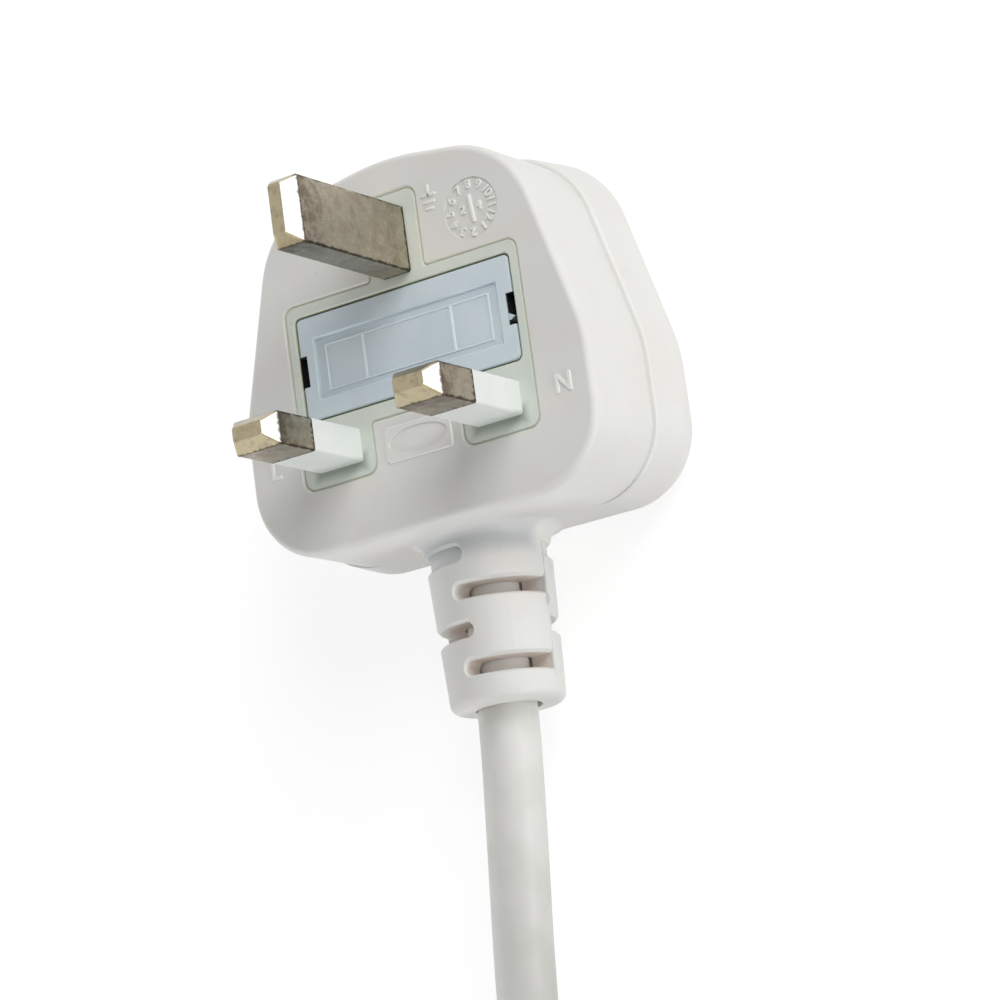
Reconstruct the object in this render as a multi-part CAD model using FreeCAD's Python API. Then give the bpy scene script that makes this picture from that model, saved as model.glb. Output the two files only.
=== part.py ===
# A moulded three pin mains plug with a fuse drawer in its face, lying on its back, pins up.
# Frame: millimetres, +Z out of the face along the pins, +Y towards the earth pin,
# origin on the flat back, under the point midway between the live and neutral pins.
import FreeCAD, Part
import math
import os

Vec = FreeCAD.Vector

# Body: the soft outer moulding
body_thickness = 21.0
body_bottom = -11.5
face_half_width = 24.0
shoulder_y = 6.0
crown_corner_x = 17.2
crown_corner_y = 30.3
crown_apex_y = 32.85
bottom_corner_radius = 9.0
shoulder_radius = 18.0
crown_corner_radius = 12.0
crown_radius = 32.0
face_edge_radius = 0.9
step_depth = 12.0
step_proud_side = 0.75
step_proud_top = 0.35
step_edge = 0.25
back_proud_side = 1.5
back_proud_top = 1.0
back_edge_radius = 3.0

# Cord guard, moulded in one with the body
cord_axis_depth = 11.5
guard_length = 20.5
guard_root_radius = 7.4
guard_end_radius = 6.75
guard_flare_radius = 1.9
guard_rim_radius = 1.1
guard_slot_width = 1.8
guard_slot_past_centre = 0.9
guard_first_slot = 2.95
guard_slot_pitch = 4.45
guard_slot_count = 4
guard_blind_slot_depth = 0.6
guard_lip = 0.3
guard_seam_angle = 45.0
guard_bore_gap = 0.35
guard_bore_length = 18.0
guard_anchor = 3.0

# Pins
pin_centre_x = 11.115
earth_pin_y = 22.23
power_pin_width = 6.35
power_pin_thickness = 4.0
power_pin_length = 17.7
earth_pin_width = 4.0
earth_pin_height = 8.0
earth_pin_length = 22.4
tip_chamfer_side = 1.15
earth_tip_chamfer_y = 1.0
power_tip_length = 2.0
earth_tip_length = 1.95
pin_corner_radius = 0.3
sleeve_thickness = 0.5
sleeve_length = 9.3
sleeve_root = 2.1
spigot_radius = 1.5
rivet_head_radius = 2.2
rivet_head_thickness = 0.8

# Pin carrier: the stiff moulding let into the face
carrier_set_back = 0.1
carrier_depth = 9.0
carrier_side_wall = 1.2
carrier_top_y = 18.45
carrier_waist_y = 2.2
carrier_foot_y = -3.8
carrier_foot_inner_x = 6.2
carrier_tab_half_width = 3.8
carrier_tab_top_y = 28.2
carrier_corner_radius = 1.3
carrier_inner_corner_radius = 0.5
carrier_edge = 0.2
carrier_recess_edge = 0.3
inner_cover_depth = 2.6

# Fuse pocket and fuse carrier
pocket_end_room = 2.5
pocket_bottom_y = 4.2
pocket_top_y = 17.0
pocket_corner_radius = 0.8
pocket_ledge_width = 1.0
pocket_edge = 0.2
drawer_gap = 0.22
drawer_seat_gap = 0.05
drawer_set_back = 0.1
drawer_plate_thickness = 2.2
drawer_recess_end = 2.3
drawer_recess_bottom_y = 6.74
drawer_recess_top_y = 14.05
drawer_recess_depth = 0.45
drawer_edge = 0.15
drawer_notch_depth = 1.15
drawer_notch_bottom_y = 8.5
drawer_notch_top_y = 12.3
drawer_latch_reach = 0.7
drawer_latch_height = 0.8
drawer_leg_width = 4.6
drawer_leg_thickness = 0.9
drawer_leg_end_gap = 0.25
drawer_leg_drop = 4.5
cradle_clip_gap = 1.1
cradle_wall = 1.6
cradle_mouth = 5.2
cradle_floor_gap = 0.9

# Cartridge fuse
fuse_length = 25.4
fuse_cap_radius = 3.175
fuse_cap_length = 5.6
fuse_cap_wall = 0.2
fuse_cap_end = 0.5
fuse_tube_wall = 0.95
fuse_element_radius = 0.15
fuse_fit = 0.02
fuse_cradle_gap = 0.15

# Clips, strips and crimps
strip_thickness = 0.6
clip_gap = 0.12
clip_width = 4.6
clip_inset = 0.6
clip_arm_height = 2.3
clip_lip_reach = 0.7
clip_lip_height = 0.7
clip_base_width = 4.4
line_strip_width = 4.0
load_strip_width = 3.0
crimp_conductor_gap = 0.05
crimp_length = 3.6
load_crimp_x = -1.6
load_crimp_end_y = -3.0
neutral_crimp_x = 4.2
neutral_crimp_end_y = -5.6
earth_crimp_end_y = 10.6
strip_margin = 2.2

# Cord and its cores
cord_radius = 3.55
core_radius = 1.25
conductor_radius = 0.65
core_side = 1.4
core_rise = 0.8
core_straight = 2.6
core_strip_gap = 0.4

# Coil that the rest of the cord is wound into, with its tie and the bare far end
coil_centre = Vec(18.2, -120.0, 0)
coil_middle_radius = 36.0
coil_pitch = 7.2
coil_layers = 3
coil_join_angle = 158.0
coil_lead_in = 25.0
coil_lead_in_share = 0.6
coil_edge_chamfer = 2.2
coil_inset = 0.15
top_turn_start_angle = 104.0
far_end_angle = 248.0
end_core_straight = 4.0
end_core_drop_length = 9.0
end_core_lying_length = 15.0
ferrule_length = 8.0
ferrule_radius = 0.95
tie_angle = 350.0
tie_width = 8.0
tie_thickness = 0.8
tie_bite = 0.3
tie_corner_radius = 3.3

# Rating plate and date dial recess on the face
plate_left_x = -4.5
plate_right_x = 4.7
plate_bottom_y = -3.3
plate_top_y = 0.9
plate_height = 0.25
plate_edge = 0.12
plate_corner_radius = 0.5
plate_dish_depth = 0.2
plate_dish_margin = 0.5
dial_x = 11.2
dial_y = 23.3
dial_radius = 3.65
dial_depth = 0.15

# How far a cutting solid runs past the face that it cuts, and past the whole body
past = 1.0
past_body = 60.0

# Worked-out sizes and levels
face_z = body_thickness
cord_axis_z = face_z - cord_axis_depth
step_z = face_z - step_depth
carrier_face_z = face_z - carrier_set_back
carrier_back_z = carrier_face_z - carrier_depth
strip_z = carrier_back_z - strip_thickness
cover_back_z = carrier_back_z - inner_cover_depth
earth_strip_z = cover_back_z - strip_thickness
drawer_face_z = carrier_face_z - drawer_set_back
drawer_plate_z = drawer_face_z - drawer_plate_thickness
ledge_z = drawer_plate_z - drawer_seat_gap
pocket_half_width = fuse_length / 2 + pocket_end_room
carrier_half_width = pocket_half_width + carrier_side_wall
drawer_recess_half_width = pocket_half_width - drawer_recess_end
cradle_half_length = fuse_length / 2 - clip_inset - clip_width - cradle_clip_gap
fuse_axis_y = (pocket_bottom_y + pocket_top_y) / 2
fuse_axis_z = carrier_back_z + clip_gap + fuse_cap_radius
clip_inner_radius = fuse_cap_radius + clip_gap
clip_outer_radius = clip_inner_radius + strip_thickness
clip_centre_x = fuse_length / 2 - clip_inset - clip_width / 2
crimp_bore_radius = conductor_radius + crimp_conductor_gap
crimp_radius = crimp_bore_radius + strip_thickness
guard_end_y = body_bottom - guard_length
guard_bore_radius = cord_radius + guard_bore_gap
coil_outer_turn = coil_middle_radius + coil_pitch / 2
coil_inner_wall = coil_middle_radius - coil_pitch / 2 - cord_radius + coil_inset
coil_outer_wall = coil_outer_turn + cord_radius - coil_inset
coil_height = 2 * coil_layers * cord_radius
top_turn_z = coil_height - cord_radius + math.sqrt(4 * cord_radius ** 2 - coil_pitch ** 2 / 4)

# Where the cores leave the sheath's far end, as steps to the side and rises above its middle
end_cores = {
    "end_core_brown": (-1, core_rise),
    "end_core_blue": (1, core_rise),
    "end_core_earth": (0, coil_height + core_radius - top_turn_z),
}

# Route of the cord from inside the guard to the floor, chosen by hand
cord_route = [
    (0.0, -14.0, cord_axis_z),
    (0.0, -31.0, cord_axis_z),
    (-1.7, -46.0, 8.8),
    (-5.2, -61.0, 5.6),
    (-6.6, -70.5, 4.3),
]


def block(x0, x1, y0, y1, z0, z1):
    return Part.makeBox(x1 - x0, y1 - y0, z1 - z0, Vec(x0, y0, z0))


def rod(radius, start, end):
    return Part.makeCylinder(radius, (end - start).Length, start, end - start)


def rounded_wire(corners, z):
    """A closed wire at height z through (x, y, radius) corners, each rounded by a tangent arc."""
    edges, ends = [], []
    count = len(corners)
    for i, (x, y, radius) in enumerate(corners):
        here = Vec(x, y, z)
        before = Vec(corners[i - 1][0], corners[i - 1][1], z) - here
        after = Vec(corners[(i + 1) % count][0], corners[(i + 1) % count][1], z) - here
        before.normalize()
        after.normalize()
        half = before.getAngle(after) / 2
        reach = radius / math.tan(half)
        middle = before + after
        middle.normalize()
        bulge = here + middle * (radius / math.sin(half) - radius)
        ends.append((here + before * reach, bulge, here + after * reach))
    for i, (start, bulge, end) in enumerate(ends):
        edges.append(Part.Arc(start, bulge, end).toShape())
        edges.append(Part.makeLine(end, ends[(i + 1) % count][0]))
    return Part.Wire(edges)


def rounded_prism(corners, z0, z1):
    return Part.Face(rounded_wire(corners, z0)).extrude(Vec(0, 0, z1 - z0))


def rounded_rectangle(x0, x1, y0, y1, radius):
    return [(x0, y0, radius), (x1, y0, radius), (x1, y1, radius), (x0, y1, radius)]


def rounded_block(x0, x1, y0, y1, z0, z1, radius):
    return rounded_prism(rounded_rectangle(x0, x1, y0, y1, radius), z0, z1)


def sloped_band(low, high, z0, z1):
    """A solid between two like outlines, such as the sloped edge of a block or of a hole."""
    return Part.makeLoft([rounded_wire(low, z0), rounded_wire(high, z1)], True, True)


def bevelled_block(x0, x1, y0, y1, z0, z1, radius, edge):
    """A rounded block whose upper edge slopes in by edge."""
    straight = rounded_block(x0, x1, y0, y1, z0, z1 - edge, radius)
    low = rounded_rectangle(x0, x1, y0, y1, radius)
    high = rounded_rectangle(x0 + edge, x1 - edge, y0 + edge, y1 - edge, max(radius - edge, edge))
    return straight.fuse(sloped_band(low, high, z1 - edge, z1))


def flared_block(x0, x1, y0, y1, z0, z1, radius, edge):
    """A rounded block that widens by edge at its top, to cut a hole with a sloped rim."""
    low = rounded_rectangle(x0, x1, y0, y1, radius)
    high = rounded_rectangle(x0 - edge, x1 + edge, y0 - edge, y1 + edge, radius + edge)
    return rounded_prism(low, z0, z1).fuse(sloped_band(low, high, z1 - edge, z1))


def edges_at(shape, z):
    """Edges that lie wholly at height z."""
    return [e for e in shape.Edges if abs(e.BoundBox.ZMin - z) + abs(e.BoundBox.ZMax - z) < 1e-4]


def plug_corners(side, top):
    """Corners of the plug's outline, grown by side at the flanks and by top at the crown."""
    half = face_half_width + side
    right = [
        (half, body_bottom, bottom_corner_radius),
        (half, shoulder_y, shoulder_radius),
        (crown_corner_x + side, crown_corner_y + top, crown_corner_radius),
    ]
    left = [(-x, y, radius) for x, y, radius in reversed(right)]
    return right + [(0.0, crown_apex_y + top, crown_radius)] + left


def carrier_corners(grow):
    """Corners of the pin carrier's outline: a block with two feet and a tab, grown by grow."""
    outer, inner = carrier_corner_radius + grow, max(carrier_inner_corner_radius - grow, 0.1)
    x, tab = carrier_half_width + grow, carrier_tab_half_width + grow
    foot = carrier_foot_inner_x - grow
    right = [
        (foot, carrier_waist_y - grow, inner),
        (foot, carrier_foot_y - grow, outer),
        (x, carrier_foot_y - grow, outer),
        (x, carrier_top_y + grow, outer),
        (tab, carrier_top_y + grow, inner),
        (tab, carrier_tab_top_y + grow, outer),
    ]
    return right + [(-a, b, radius) for a, b, radius in reversed(right)]


def outer_body():
    """The moulding's outer shape: straight front walls, a small step, a flared back."""
    front = rounded_prism(plug_corners(0, 0), 0, face_z)
    front = front.makeFillet(face_edge_radius, edges_at(front, face_z))
    at_step = rounded_wire(plug_corners(step_proud_side - step_edge, step_proud_top - step_edge), step_z)
    under_step = rounded_wire(plug_corners(step_proud_side, step_proud_top), step_z - step_edge)
    at_back = rounded_wire(plug_corners(back_proud_side, back_proud_top), 0)
    flange = Part.makeLoft([at_step, under_step, at_back], True, True)
    flange = flange.makeFillet(back_edge_radius, edges_at(flange, 0))
    inside = rounded_prism(plug_corners(0, 0), back_edge_radius, face_z - face_edge_radius)
    slab = block(-past_body, past_body, -past_body, past_body, step_z / 2, face_z)
    return flange.fuse(front.common(slab)).fuse(inside)


def guard_section():
    """Half outline of the guard as (y, radius) edges, from inside the body to its flat end."""
    root_y = body_bottom - guard_flare_radius
    rim_y = guard_end_y + guard_rim_radius
    flare_top = guard_root_radius + guard_flare_radius
    bend = math.sqrt(0.5)
    start, end = Vec(0, body_bottom + guard_anchor, 0), Vec(0, guard_end_y, 0)
    flare_a = Vec(0, body_bottom, flare_top)
    flare_b = Vec(0, root_y, guard_root_radius)
    flare_m = Vec(0, root_y + guard_flare_radius * bend, flare_top - guard_flare_radius * bend)
    rim_a = Vec(0, rim_y, guard_end_radius)
    rim_b = Vec(0, guard_end_y, guard_end_radius - guard_rim_radius)
    rim_m = Vec(0, rim_y - guard_rim_radius * bend, guard_end_radius - guard_rim_radius * (1 - bend))
    return [
        Part.makeLine(start, Vec(0, start.y, flare_top)),
        Part.makeLine(Vec(0, start.y, flare_top), flare_a),
        Part.Arc(flare_a, flare_m, flare_b).toShape(),
        Part.makeLine(flare_b, rim_a),
        Part.Arc(rim_a, rim_m, rim_b).toShape(),
        Part.makeLine(rim_b, end),
        Part.makeLine(end, start),
    ]


def guard_cone():
    """The guard before its slots, its seam turned to where no slot ends."""
    face = Part.Face(Part.Wire(guard_section()))
    solid = face.revolve(Vec(0, 0, 0), Vec(0, 1, 0), 360)
    solid.rotate(Vec(0, 0, 0), Vec(0, 1, 0), guard_seam_angle)
    solid.translate(Vec(0, 0, cord_axis_z))
    return solid


def guard_slot(y, side, front):
    """One slot with a round end just past the centre, open at one side, in one half of the guard."""
    half, reach = guard_slot_width / 2, 2 * guard_root_radius
    end_x = (half - guard_slot_past_centre) * side
    low, high = Vec(end_x, y - half, cord_axis_z), Vec(end_x, y + half, cord_axis_z)
    open_low, open_high = low + Vec(side * reach, 0, 0), high + Vec(side * reach, 0, 0)
    round_end = Part.Arc(low, Vec(end_x - side * half, y, cord_axis_z), high).toShape()
    wire = Part.Wire([Part.makeLine(open_low, low), round_end, Part.makeLine(high, open_high),
                      Part.makeLine(open_high, open_low)])
    return Part.Face(wire).extrude(Vec(0, 0, reach if front else -reach))


def guard_slot_rim(y, side, front):
    """The slope round the slot's outer edge: a flared groove along it and a cone at its round end."""
    half, up = guard_slot_width / 2, 1 if front else -1
    slope = (guard_root_radius - guard_end_radius) / (guard_length - guard_flare_radius - guard_rim_radius)
    surface = guard_root_radius - slope * (body_bottom - guard_flare_radius - y)
    low, high, wide = surface - guard_lip, surface + guard_lip, half + 2 * guard_lip
    corners = [Vec(side * low, y - half, cord_axis_z), Vec(side * high, y - wide, cord_axis_z),
               Vec(side * high, y + wide, cord_axis_z), Vec(side * low, y + half, cord_axis_z)]
    end_x = (half - guard_slot_past_centre) * side
    sweep = math.degrees(math.acos(end_x * side / surface))
    groove = Part.Face(Part.makePolygon(corners + corners[:1]))
    groove = groove.revolve(Vec(0, y, cord_axis_z), Vec(0, -side * up, 0), sweep)
    foot = Vec(end_x, y, cord_axis_z + up * low)
    return groove.fuse(Part.makeCone(half, wide, high - low, foot, Vec(0, 0, up)))


def guard():
    """The guard with slots that change sides from one to the next, opposite in its back half."""
    solid = guard_cone()
    for i in range(guard_slot_count):
        y = body_bottom - guard_first_slot - i * guard_slot_pitch
        side = 1 if i % 2 else -1
        for front in (True, False):
            slot = guard_slot(y, side if front else -side, front)
            if i == 0:
                axis, length = Vec(0, y, cord_axis_z), Vec(0, guard_slot_width, 0)
                floor = guard_root_radius - guard_blind_slot_depth
                slot = slot.cut(rod(floor, axis - length, axis + length))
            solid = solid.cut(slot).cut(guard_slot_rim(y, side if front else -side, front))
    return solid


def body_moulding(held):
    """The soft body with its guard, moulded round what it holds."""
    body = outer_body().fuse(guard())
    body = body.common(block(-past_body, past_body, guard_end_y - past, past_body, 0, face_z))
    plate = bevelled_block(plate_left_x, plate_right_x, plate_bottom_y, plate_top_y,
                           face_z - face_edge_radius, face_z + plate_height, plate_corner_radius,
                           plate_edge)
    body = body.fuse(plate)
    bore_end = Vec(0, guard_end_y + guard_bore_length, cord_axis_z)
    body = body.cut(rod(guard_bore_radius, Vec(0, guard_end_y - past, cord_axis_z), bore_end))
    body = body.cut(plate_dish())
    dial_floor = Vec(dial_x, dial_y, face_z - dial_depth)
    body = body.cut(rod(dial_radius, dial_floor, dial_floor + Vec(0, 0, past)))
    body = body.cut(rounded_prism(carrier_corners(0), carrier_back_z, face_z))
    body = body.cut(sloped_band(carrier_corners(0), carrier_corners(carrier_recess_edge),
                                face_z - carrier_recess_edge, face_z))
    for piece in held:
        body = body.cut(piece)
    return body.removeSplitter()


def plate_dish():
    """Oval dish in the rating plate."""
    centre = Vec((plate_left_x + plate_right_x) / 2, (plate_bottom_y + plate_top_y) / 2,
                 face_z + plate_height - plate_dish_depth)
    major = (plate_right_x - plate_left_x) / 2 - plate_dish_margin
    minor = (plate_top_y - plate_bottom_y) / 2 - plate_dish_margin
    oval = Part.Wire([Part.Ellipse(centre, major, minor).toShape()])
    return Part.Face(oval).extrude(Vec(0, 0, past))


def pin_section(x, y, width, height, z, side_cut, end_cut, radius):
    """Rounded rectangle across a pin at height z, cut back by side_cut in X and end_cut in Y."""
    a, b = width / 2 - side_cut, height / 2 - end_cut
    corners = [(x - a, y - b), (x + a, y - b), (x + a, y + b), (x - a, y + b)]
    return rounded_wire([corner + (radius,) for corner in corners], z)


def pin(x, y, width, height, length, tip_length, end_cut, back_z):
    """A pin with a four-sided chamfered tip, riveted over the strip behind it."""
    tip_z, shank_z = face_z + length, face_z + length - tip_length
    shank = Part.Face(pin_section(x, y, width, height, back_z, 0, 0, pin_corner_radius))
    solid = shank.extrude(Vec(0, 0, shank_z - back_z))
    wide = pin_section(x, y, width, height, shank_z, 0, 0, pin_corner_radius)
    narrow = pin_section(x, y, width, height, tip_z, tip_chamfer_side, end_cut, pin_corner_radius)
    solid = solid.fuse(Part.makeLoft([wide, narrow], True, True))
    under_strip = back_z - strip_thickness
    head_z = under_strip - rivet_head_thickness
    solid = solid.fuse(rod(spigot_radius, Vec(x, y, head_z), Vec(x, y, back_z)))
    solid = solid.fuse(rod(rivet_head_radius, Vec(x, y, head_z), Vec(x, y, under_strip)))
    return solid.removeSplitter()


def sleeve(x):
    """Insulating sleeve, flush with the pin, from inside the carrier to its end up the pin."""
    low, high = carrier_face_z - sleeve_root, face_z + sleeve_length
    outer = Part.Face(pin_section(x, 0, power_pin_width, power_pin_thickness, low, 0, 0, pin_corner_radius))
    inner = Part.Face(pin_section(x, 0, power_pin_width, power_pin_thickness, low,
                                  sleeve_thickness, sleeve_thickness, pin_corner_radius))
    rise = Vec(0, 0, high - low)
    return outer.extrude(rise).cut(inner.extrude(rise))


def power_pin(x):
    whole = pin(x, 0, power_pin_width, power_pin_thickness, power_pin_length,
                power_tip_length, tip_chamfer_side, carrier_back_z)
    return whole.cut(sleeve(x))


def earth_pin():
    return pin(0, earth_pin_y, earth_pin_width, earth_pin_height, earth_pin_length,
               earth_tip_length, earth_tip_chamfer_y, cover_back_z)


def pin_hole(x, y, width, height, z0, z1):
    face = Part.Face(pin_section(x, y, width, height, z0, 0, 0, pin_corner_radius))
    return face.extrude(Vec(0, 0, z1 - z0))


def pin_holes(z0, z1):
    holes = [pin_hole(0, earth_pin_y, earth_pin_width, earth_pin_height, z0, z1)]
    for x in (-pin_centre_x, pin_centre_x):
        holes.append(pin_hole(x, 0, power_pin_width, power_pin_thickness, z0, z1))
    return holes


def pin_carrier():
    """Stiff moulding that holds the pins and the fuse pocket, with a ledge for the drawer."""
    solid = rounded_prism(carrier_corners(0), carrier_back_z, carrier_face_z - carrier_edge)
    solid = solid.fuse(sloped_band(carrier_corners(0), carrier_corners(-carrier_edge),
                                   carrier_face_z - carrier_edge, carrier_face_z))
    mouth = flared_block(-pocket_half_width, pocket_half_width, pocket_bottom_y, pocket_top_y,
                         ledge_z, carrier_face_z, pocket_corner_radius, pocket_edge)
    well = rounded_block(pocket_ledge_width - pocket_half_width, pocket_half_width - pocket_ledge_width,
                         pocket_bottom_y + pocket_ledge_width, pocket_top_y - pocket_ledge_width,
                         carrier_back_z, face_z, pocket_corner_radius)
    solid = solid.cut(mouth).cut(well)
    for hole in pin_holes(carrier_back_z, face_z):
        solid = solid.cut(hole)
    return solid.removeSplitter()


def inner_cover(held):
    """Cover behind the carrier, which closes the pocket and backs the strips and rivets."""
    solid = rounded_prism(carrier_corners(0), cover_back_z, carrier_back_z)
    for piece in held:
        solid = solid.cut(piece)
    earth_hole = pin_hole(0, earth_pin_y, earth_pin_width, earth_pin_height, cover_back_z, carrier_back_z)
    return solid.cut(earth_hole)


def clip(centre_x):
    """Open spring clip for one fuse cap: a half round, two arms and outward lips."""
    x0, x1 = centre_x - clip_width / 2, centre_x + clip_width / 2
    axis_a, axis_b = on_fuse_axis(x0), on_fuse_axis(x1)
    reach = clip_outer_radius + past
    lower = block(x0, x1, fuse_axis_y - reach, fuse_axis_y + reach, fuse_axis_z - reach, fuse_axis_z)
    cup = rod(clip_outer_radius, axis_a, axis_b).cut(rod(clip_inner_radius, axis_a, axis_b)).common(lower)
    arm_z, lip_z = fuse_axis_z + clip_arm_height, fuse_axis_z + clip_arm_height + clip_lip_height
    for side in (-1, 1):
        outline = [
            (clip_inner_radius, fuse_axis_z),
            (clip_outer_radius, fuse_axis_z),
            (clip_outer_radius, arm_z),
            (clip_outer_radius + clip_lip_reach, lip_z),
            (clip_inner_radius + clip_lip_reach, lip_z),
            (clip_inner_radius, arm_z),
        ]
        points = [Vec(x0, fuse_axis_y + side * a, b) for a, b in outline]
        cup = cup.fuse(Part.Face(Part.makePolygon(points + points[:1])).extrude(Vec(clip_width, 0, 0)))
    base = block(x0, x1, fuse_axis_y - clip_base_width / 2, fuse_axis_y + clip_base_width / 2,
                 strip_z, carrier_back_z)
    well = rod(clip_inner_radius, axis_a, axis_b)
    return cup.fuse(base.cut(well))


def crimp_envelope(x, end_y, strip_top):
    """The whole round of a crimp barrel, hung under a strip whose upper side is at strip_top."""
    axis_z = strip_top - crimp_radius
    return rod(crimp_radius, Vec(x, end_y, axis_z), Vec(x, end_y + crimp_length, axis_z))


def crimp_bore(x, end_y, strip_top):
    axis_z = strip_top - crimp_radius
    return rod(crimp_bore_radius, Vec(x, end_y - past, axis_z), Vec(x, end_y + crimp_length + past, axis_z))


def spigot_hole(x, y, strip_low):
    return rod(spigot_radius, Vec(x, y, strip_low - past), Vec(x, y, strip_low + strip_thickness + past))


def line_clip():
    """Clip on the line side, its strip riveted to the live pin."""
    half = line_strip_width / 2
    far_y = fuse_axis_y - clip_base_width / 2 + strip_thickness
    strip = block(-pin_centre_x - half, half - pin_centre_x, -strip_margin, far_y, strip_z, carrier_back_z)
    solid = clip(-clip_centre_x).fuse(strip)
    return solid.cut(spigot_hole(-pin_centre_x, 0, strip_z)).removeSplitter()


def load_strip():
    half = load_strip_width / 2
    cross_half = line_strip_width / 2
    along = block(load_crimp_x - half, clip_centre_x, fuse_axis_y - cross_half, fuse_axis_y + cross_half,
                  strip_z, carrier_back_z)
    down = block(load_crimp_x - half, load_crimp_x + half, load_crimp_end_y + crimp_length / 2, fuse_axis_y,
                 strip_z, carrier_back_z)
    return along.fuse(down)


def load_clip():
    """Clip on the load side, with a strip down to the crimp on the brown core."""
    barrel = crimp_envelope(load_crimp_x, load_crimp_end_y, carrier_back_z)
    cap_space = rod(clip_inner_radius, on_fuse_axis(clip_centre_x - clip_width / 2 - past),
                    on_fuse_axis(fuse_length))
    solid = clip(clip_centre_x).fuse(load_strip().cut(cap_space)).fuse(barrel)
    return solid.cut(crimp_bore(load_crimp_x, load_crimp_end_y, carrier_back_z)).removeSplitter()


def neutral_terminal():
    """Strip from the neutral pin to the crimp on the blue core."""
    strip = block(neutral_crimp_x - crimp_radius, pin_centre_x + strip_margin, -line_strip_width / 2,
                  line_strip_width / 2, strip_z, carrier_back_z)
    tail = block(neutral_crimp_x - crimp_radius, neutral_crimp_x + crimp_radius,
                 neutral_crimp_end_y + crimp_length / 2, 0, strip_z, carrier_back_z)
    barrel = crimp_envelope(neutral_crimp_x, neutral_crimp_end_y, carrier_back_z)
    solid = strip.fuse(tail).fuse(barrel).cut(spigot_hole(pin_centre_x, 0, strip_z))
    return solid.cut(crimp_bore(neutral_crimp_x, neutral_crimp_end_y, carrier_back_z)).removeSplitter()


def earth_terminal():
    """Strip behind the cover from the earth pin to the crimp on the green and yellow core."""
    half = line_strip_width / 2
    strip = block(-half, half, earth_crimp_end_y + crimp_length / 2, earth_pin_y + strip_margin,
                  earth_strip_z, cover_back_z)
    solid = strip.fuse(crimp_envelope(0, earth_crimp_end_y, cover_back_z))
    solid = solid.cut(spigot_hole(0, earth_pin_y, earth_strip_z))
    return solid.cut(crimp_bore(0, earth_crimp_end_y, cover_back_z)).removeSplitter()


def on_fuse_axis(x):
    return Vec(x, fuse_axis_y, fuse_axis_z)


def fuse_cap(side):
    """Drawn metal cap over one end of the fuse's tube."""
    mouth = on_fuse_axis(side * (fuse_length / 2 - fuse_cap_length))
    end = on_fuse_axis(side * fuse_length / 2)
    cap = rod(fuse_cap_radius, mouth, end)
    floor = on_fuse_axis(side * (fuse_length / 2 - fuse_cap_end))
    return cap.cut(rod(fuse_cap_radius - fuse_cap_wall, mouth, floor))


def fuse_tube():
    half = fuse_length / 2 - fuse_cap_end
    start, end = on_fuse_axis(-half), on_fuse_axis(half)
    radius = fuse_cap_radius - fuse_cap_wall - fuse_fit
    return rod(radius, start, end).cut(rod(radius - fuse_tube_wall, start, end))


def fuse_element():
    half = fuse_length / 2 - fuse_cap_end
    return rod(fuse_element_radius, on_fuse_axis(-half), on_fuse_axis(half))


def cradle():
    """Open-bottomed saddle under the drawer's plate that grips the fuse between its caps."""
    tube_radius = fuse_cap_radius + fuse_cradle_gap
    outer = tube_radius + cradle_wall
    low = carrier_back_z + cradle_floor_gap
    solid = rounded_block(-cradle_half_length, cradle_half_length, fuse_axis_y - outer, fuse_axis_y + outer,
                          low, drawer_plate_z, cradle_wall / 2)
    end_x = cradle_half_length + past
    bore = rod(tube_radius, on_fuse_axis(-end_x), on_fuse_axis(end_x))
    mouth = block(-end_x, end_x, fuse_axis_y - cradle_mouth / 2, fuse_axis_y + cradle_mouth / 2,
                  low - past, fuse_axis_z)
    return solid.cut(bore).cut(mouth)


def fuse_carrier():
    """Drawer with a recessed face, a notch at each end, end legs and the fuse's saddle."""
    x, y0, y1 = pocket_half_width - drawer_gap, pocket_bottom_y + drawer_gap, pocket_top_y - drawer_gap
    solid = bevelled_block(-x, x, y0, y1, drawer_plate_z, drawer_face_z,
                           pocket_corner_radius - drawer_gap, drawer_edge)
    recess = flared_block(-drawer_recess_half_width, drawer_recess_half_width, drawer_recess_bottom_y,
                          drawer_recess_top_y, drawer_face_z - drawer_recess_depth, drawer_face_z,
                          drawer_gap, drawer_edge)
    solid = solid.cut(recess)
    notch_x = pocket_half_width - drawer_notch_depth
    for side in (-1, 1):
        low, high = sorted((side * notch_x, side * (pocket_half_width + past)))
        notch = block(low, high, drawer_notch_bottom_y, drawer_notch_top_y, drawer_plate_z, face_z)
        solid = solid.cut(notch)
        leg_in = fuse_length / 2 + drawer_leg_end_gap
        low, high = sorted((side * leg_in, side * (leg_in + drawer_leg_thickness)))
        leg = block(low, high, fuse_axis_y - drawer_leg_width / 2, fuse_axis_y + drawer_leg_width / 2,
                    drawer_plate_z - drawer_leg_drop, drawer_plate_z)
        solid = solid.fuse(leg)
    latch_y = (drawer_notch_bottom_y + drawer_notch_top_y) / 2 - drawer_latch_height
    latch = [Vec(notch_x, latch_y - drawer_latch_height / 2, drawer_plate_z),
             Vec(notch_x + drawer_latch_reach, latch_y, drawer_plate_z),
             Vec(notch_x, latch_y + drawer_latch_height / 2, drawer_plate_z)]
    rise = Vec(0, 0, drawer_plate_thickness - drawer_recess_depth)
    nib = Part.Face(Part.makePolygon(latch + latch[:1])).extrude(rise)
    return solid.fuse(nib).fuse(cradle()).removeSplitter()


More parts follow.
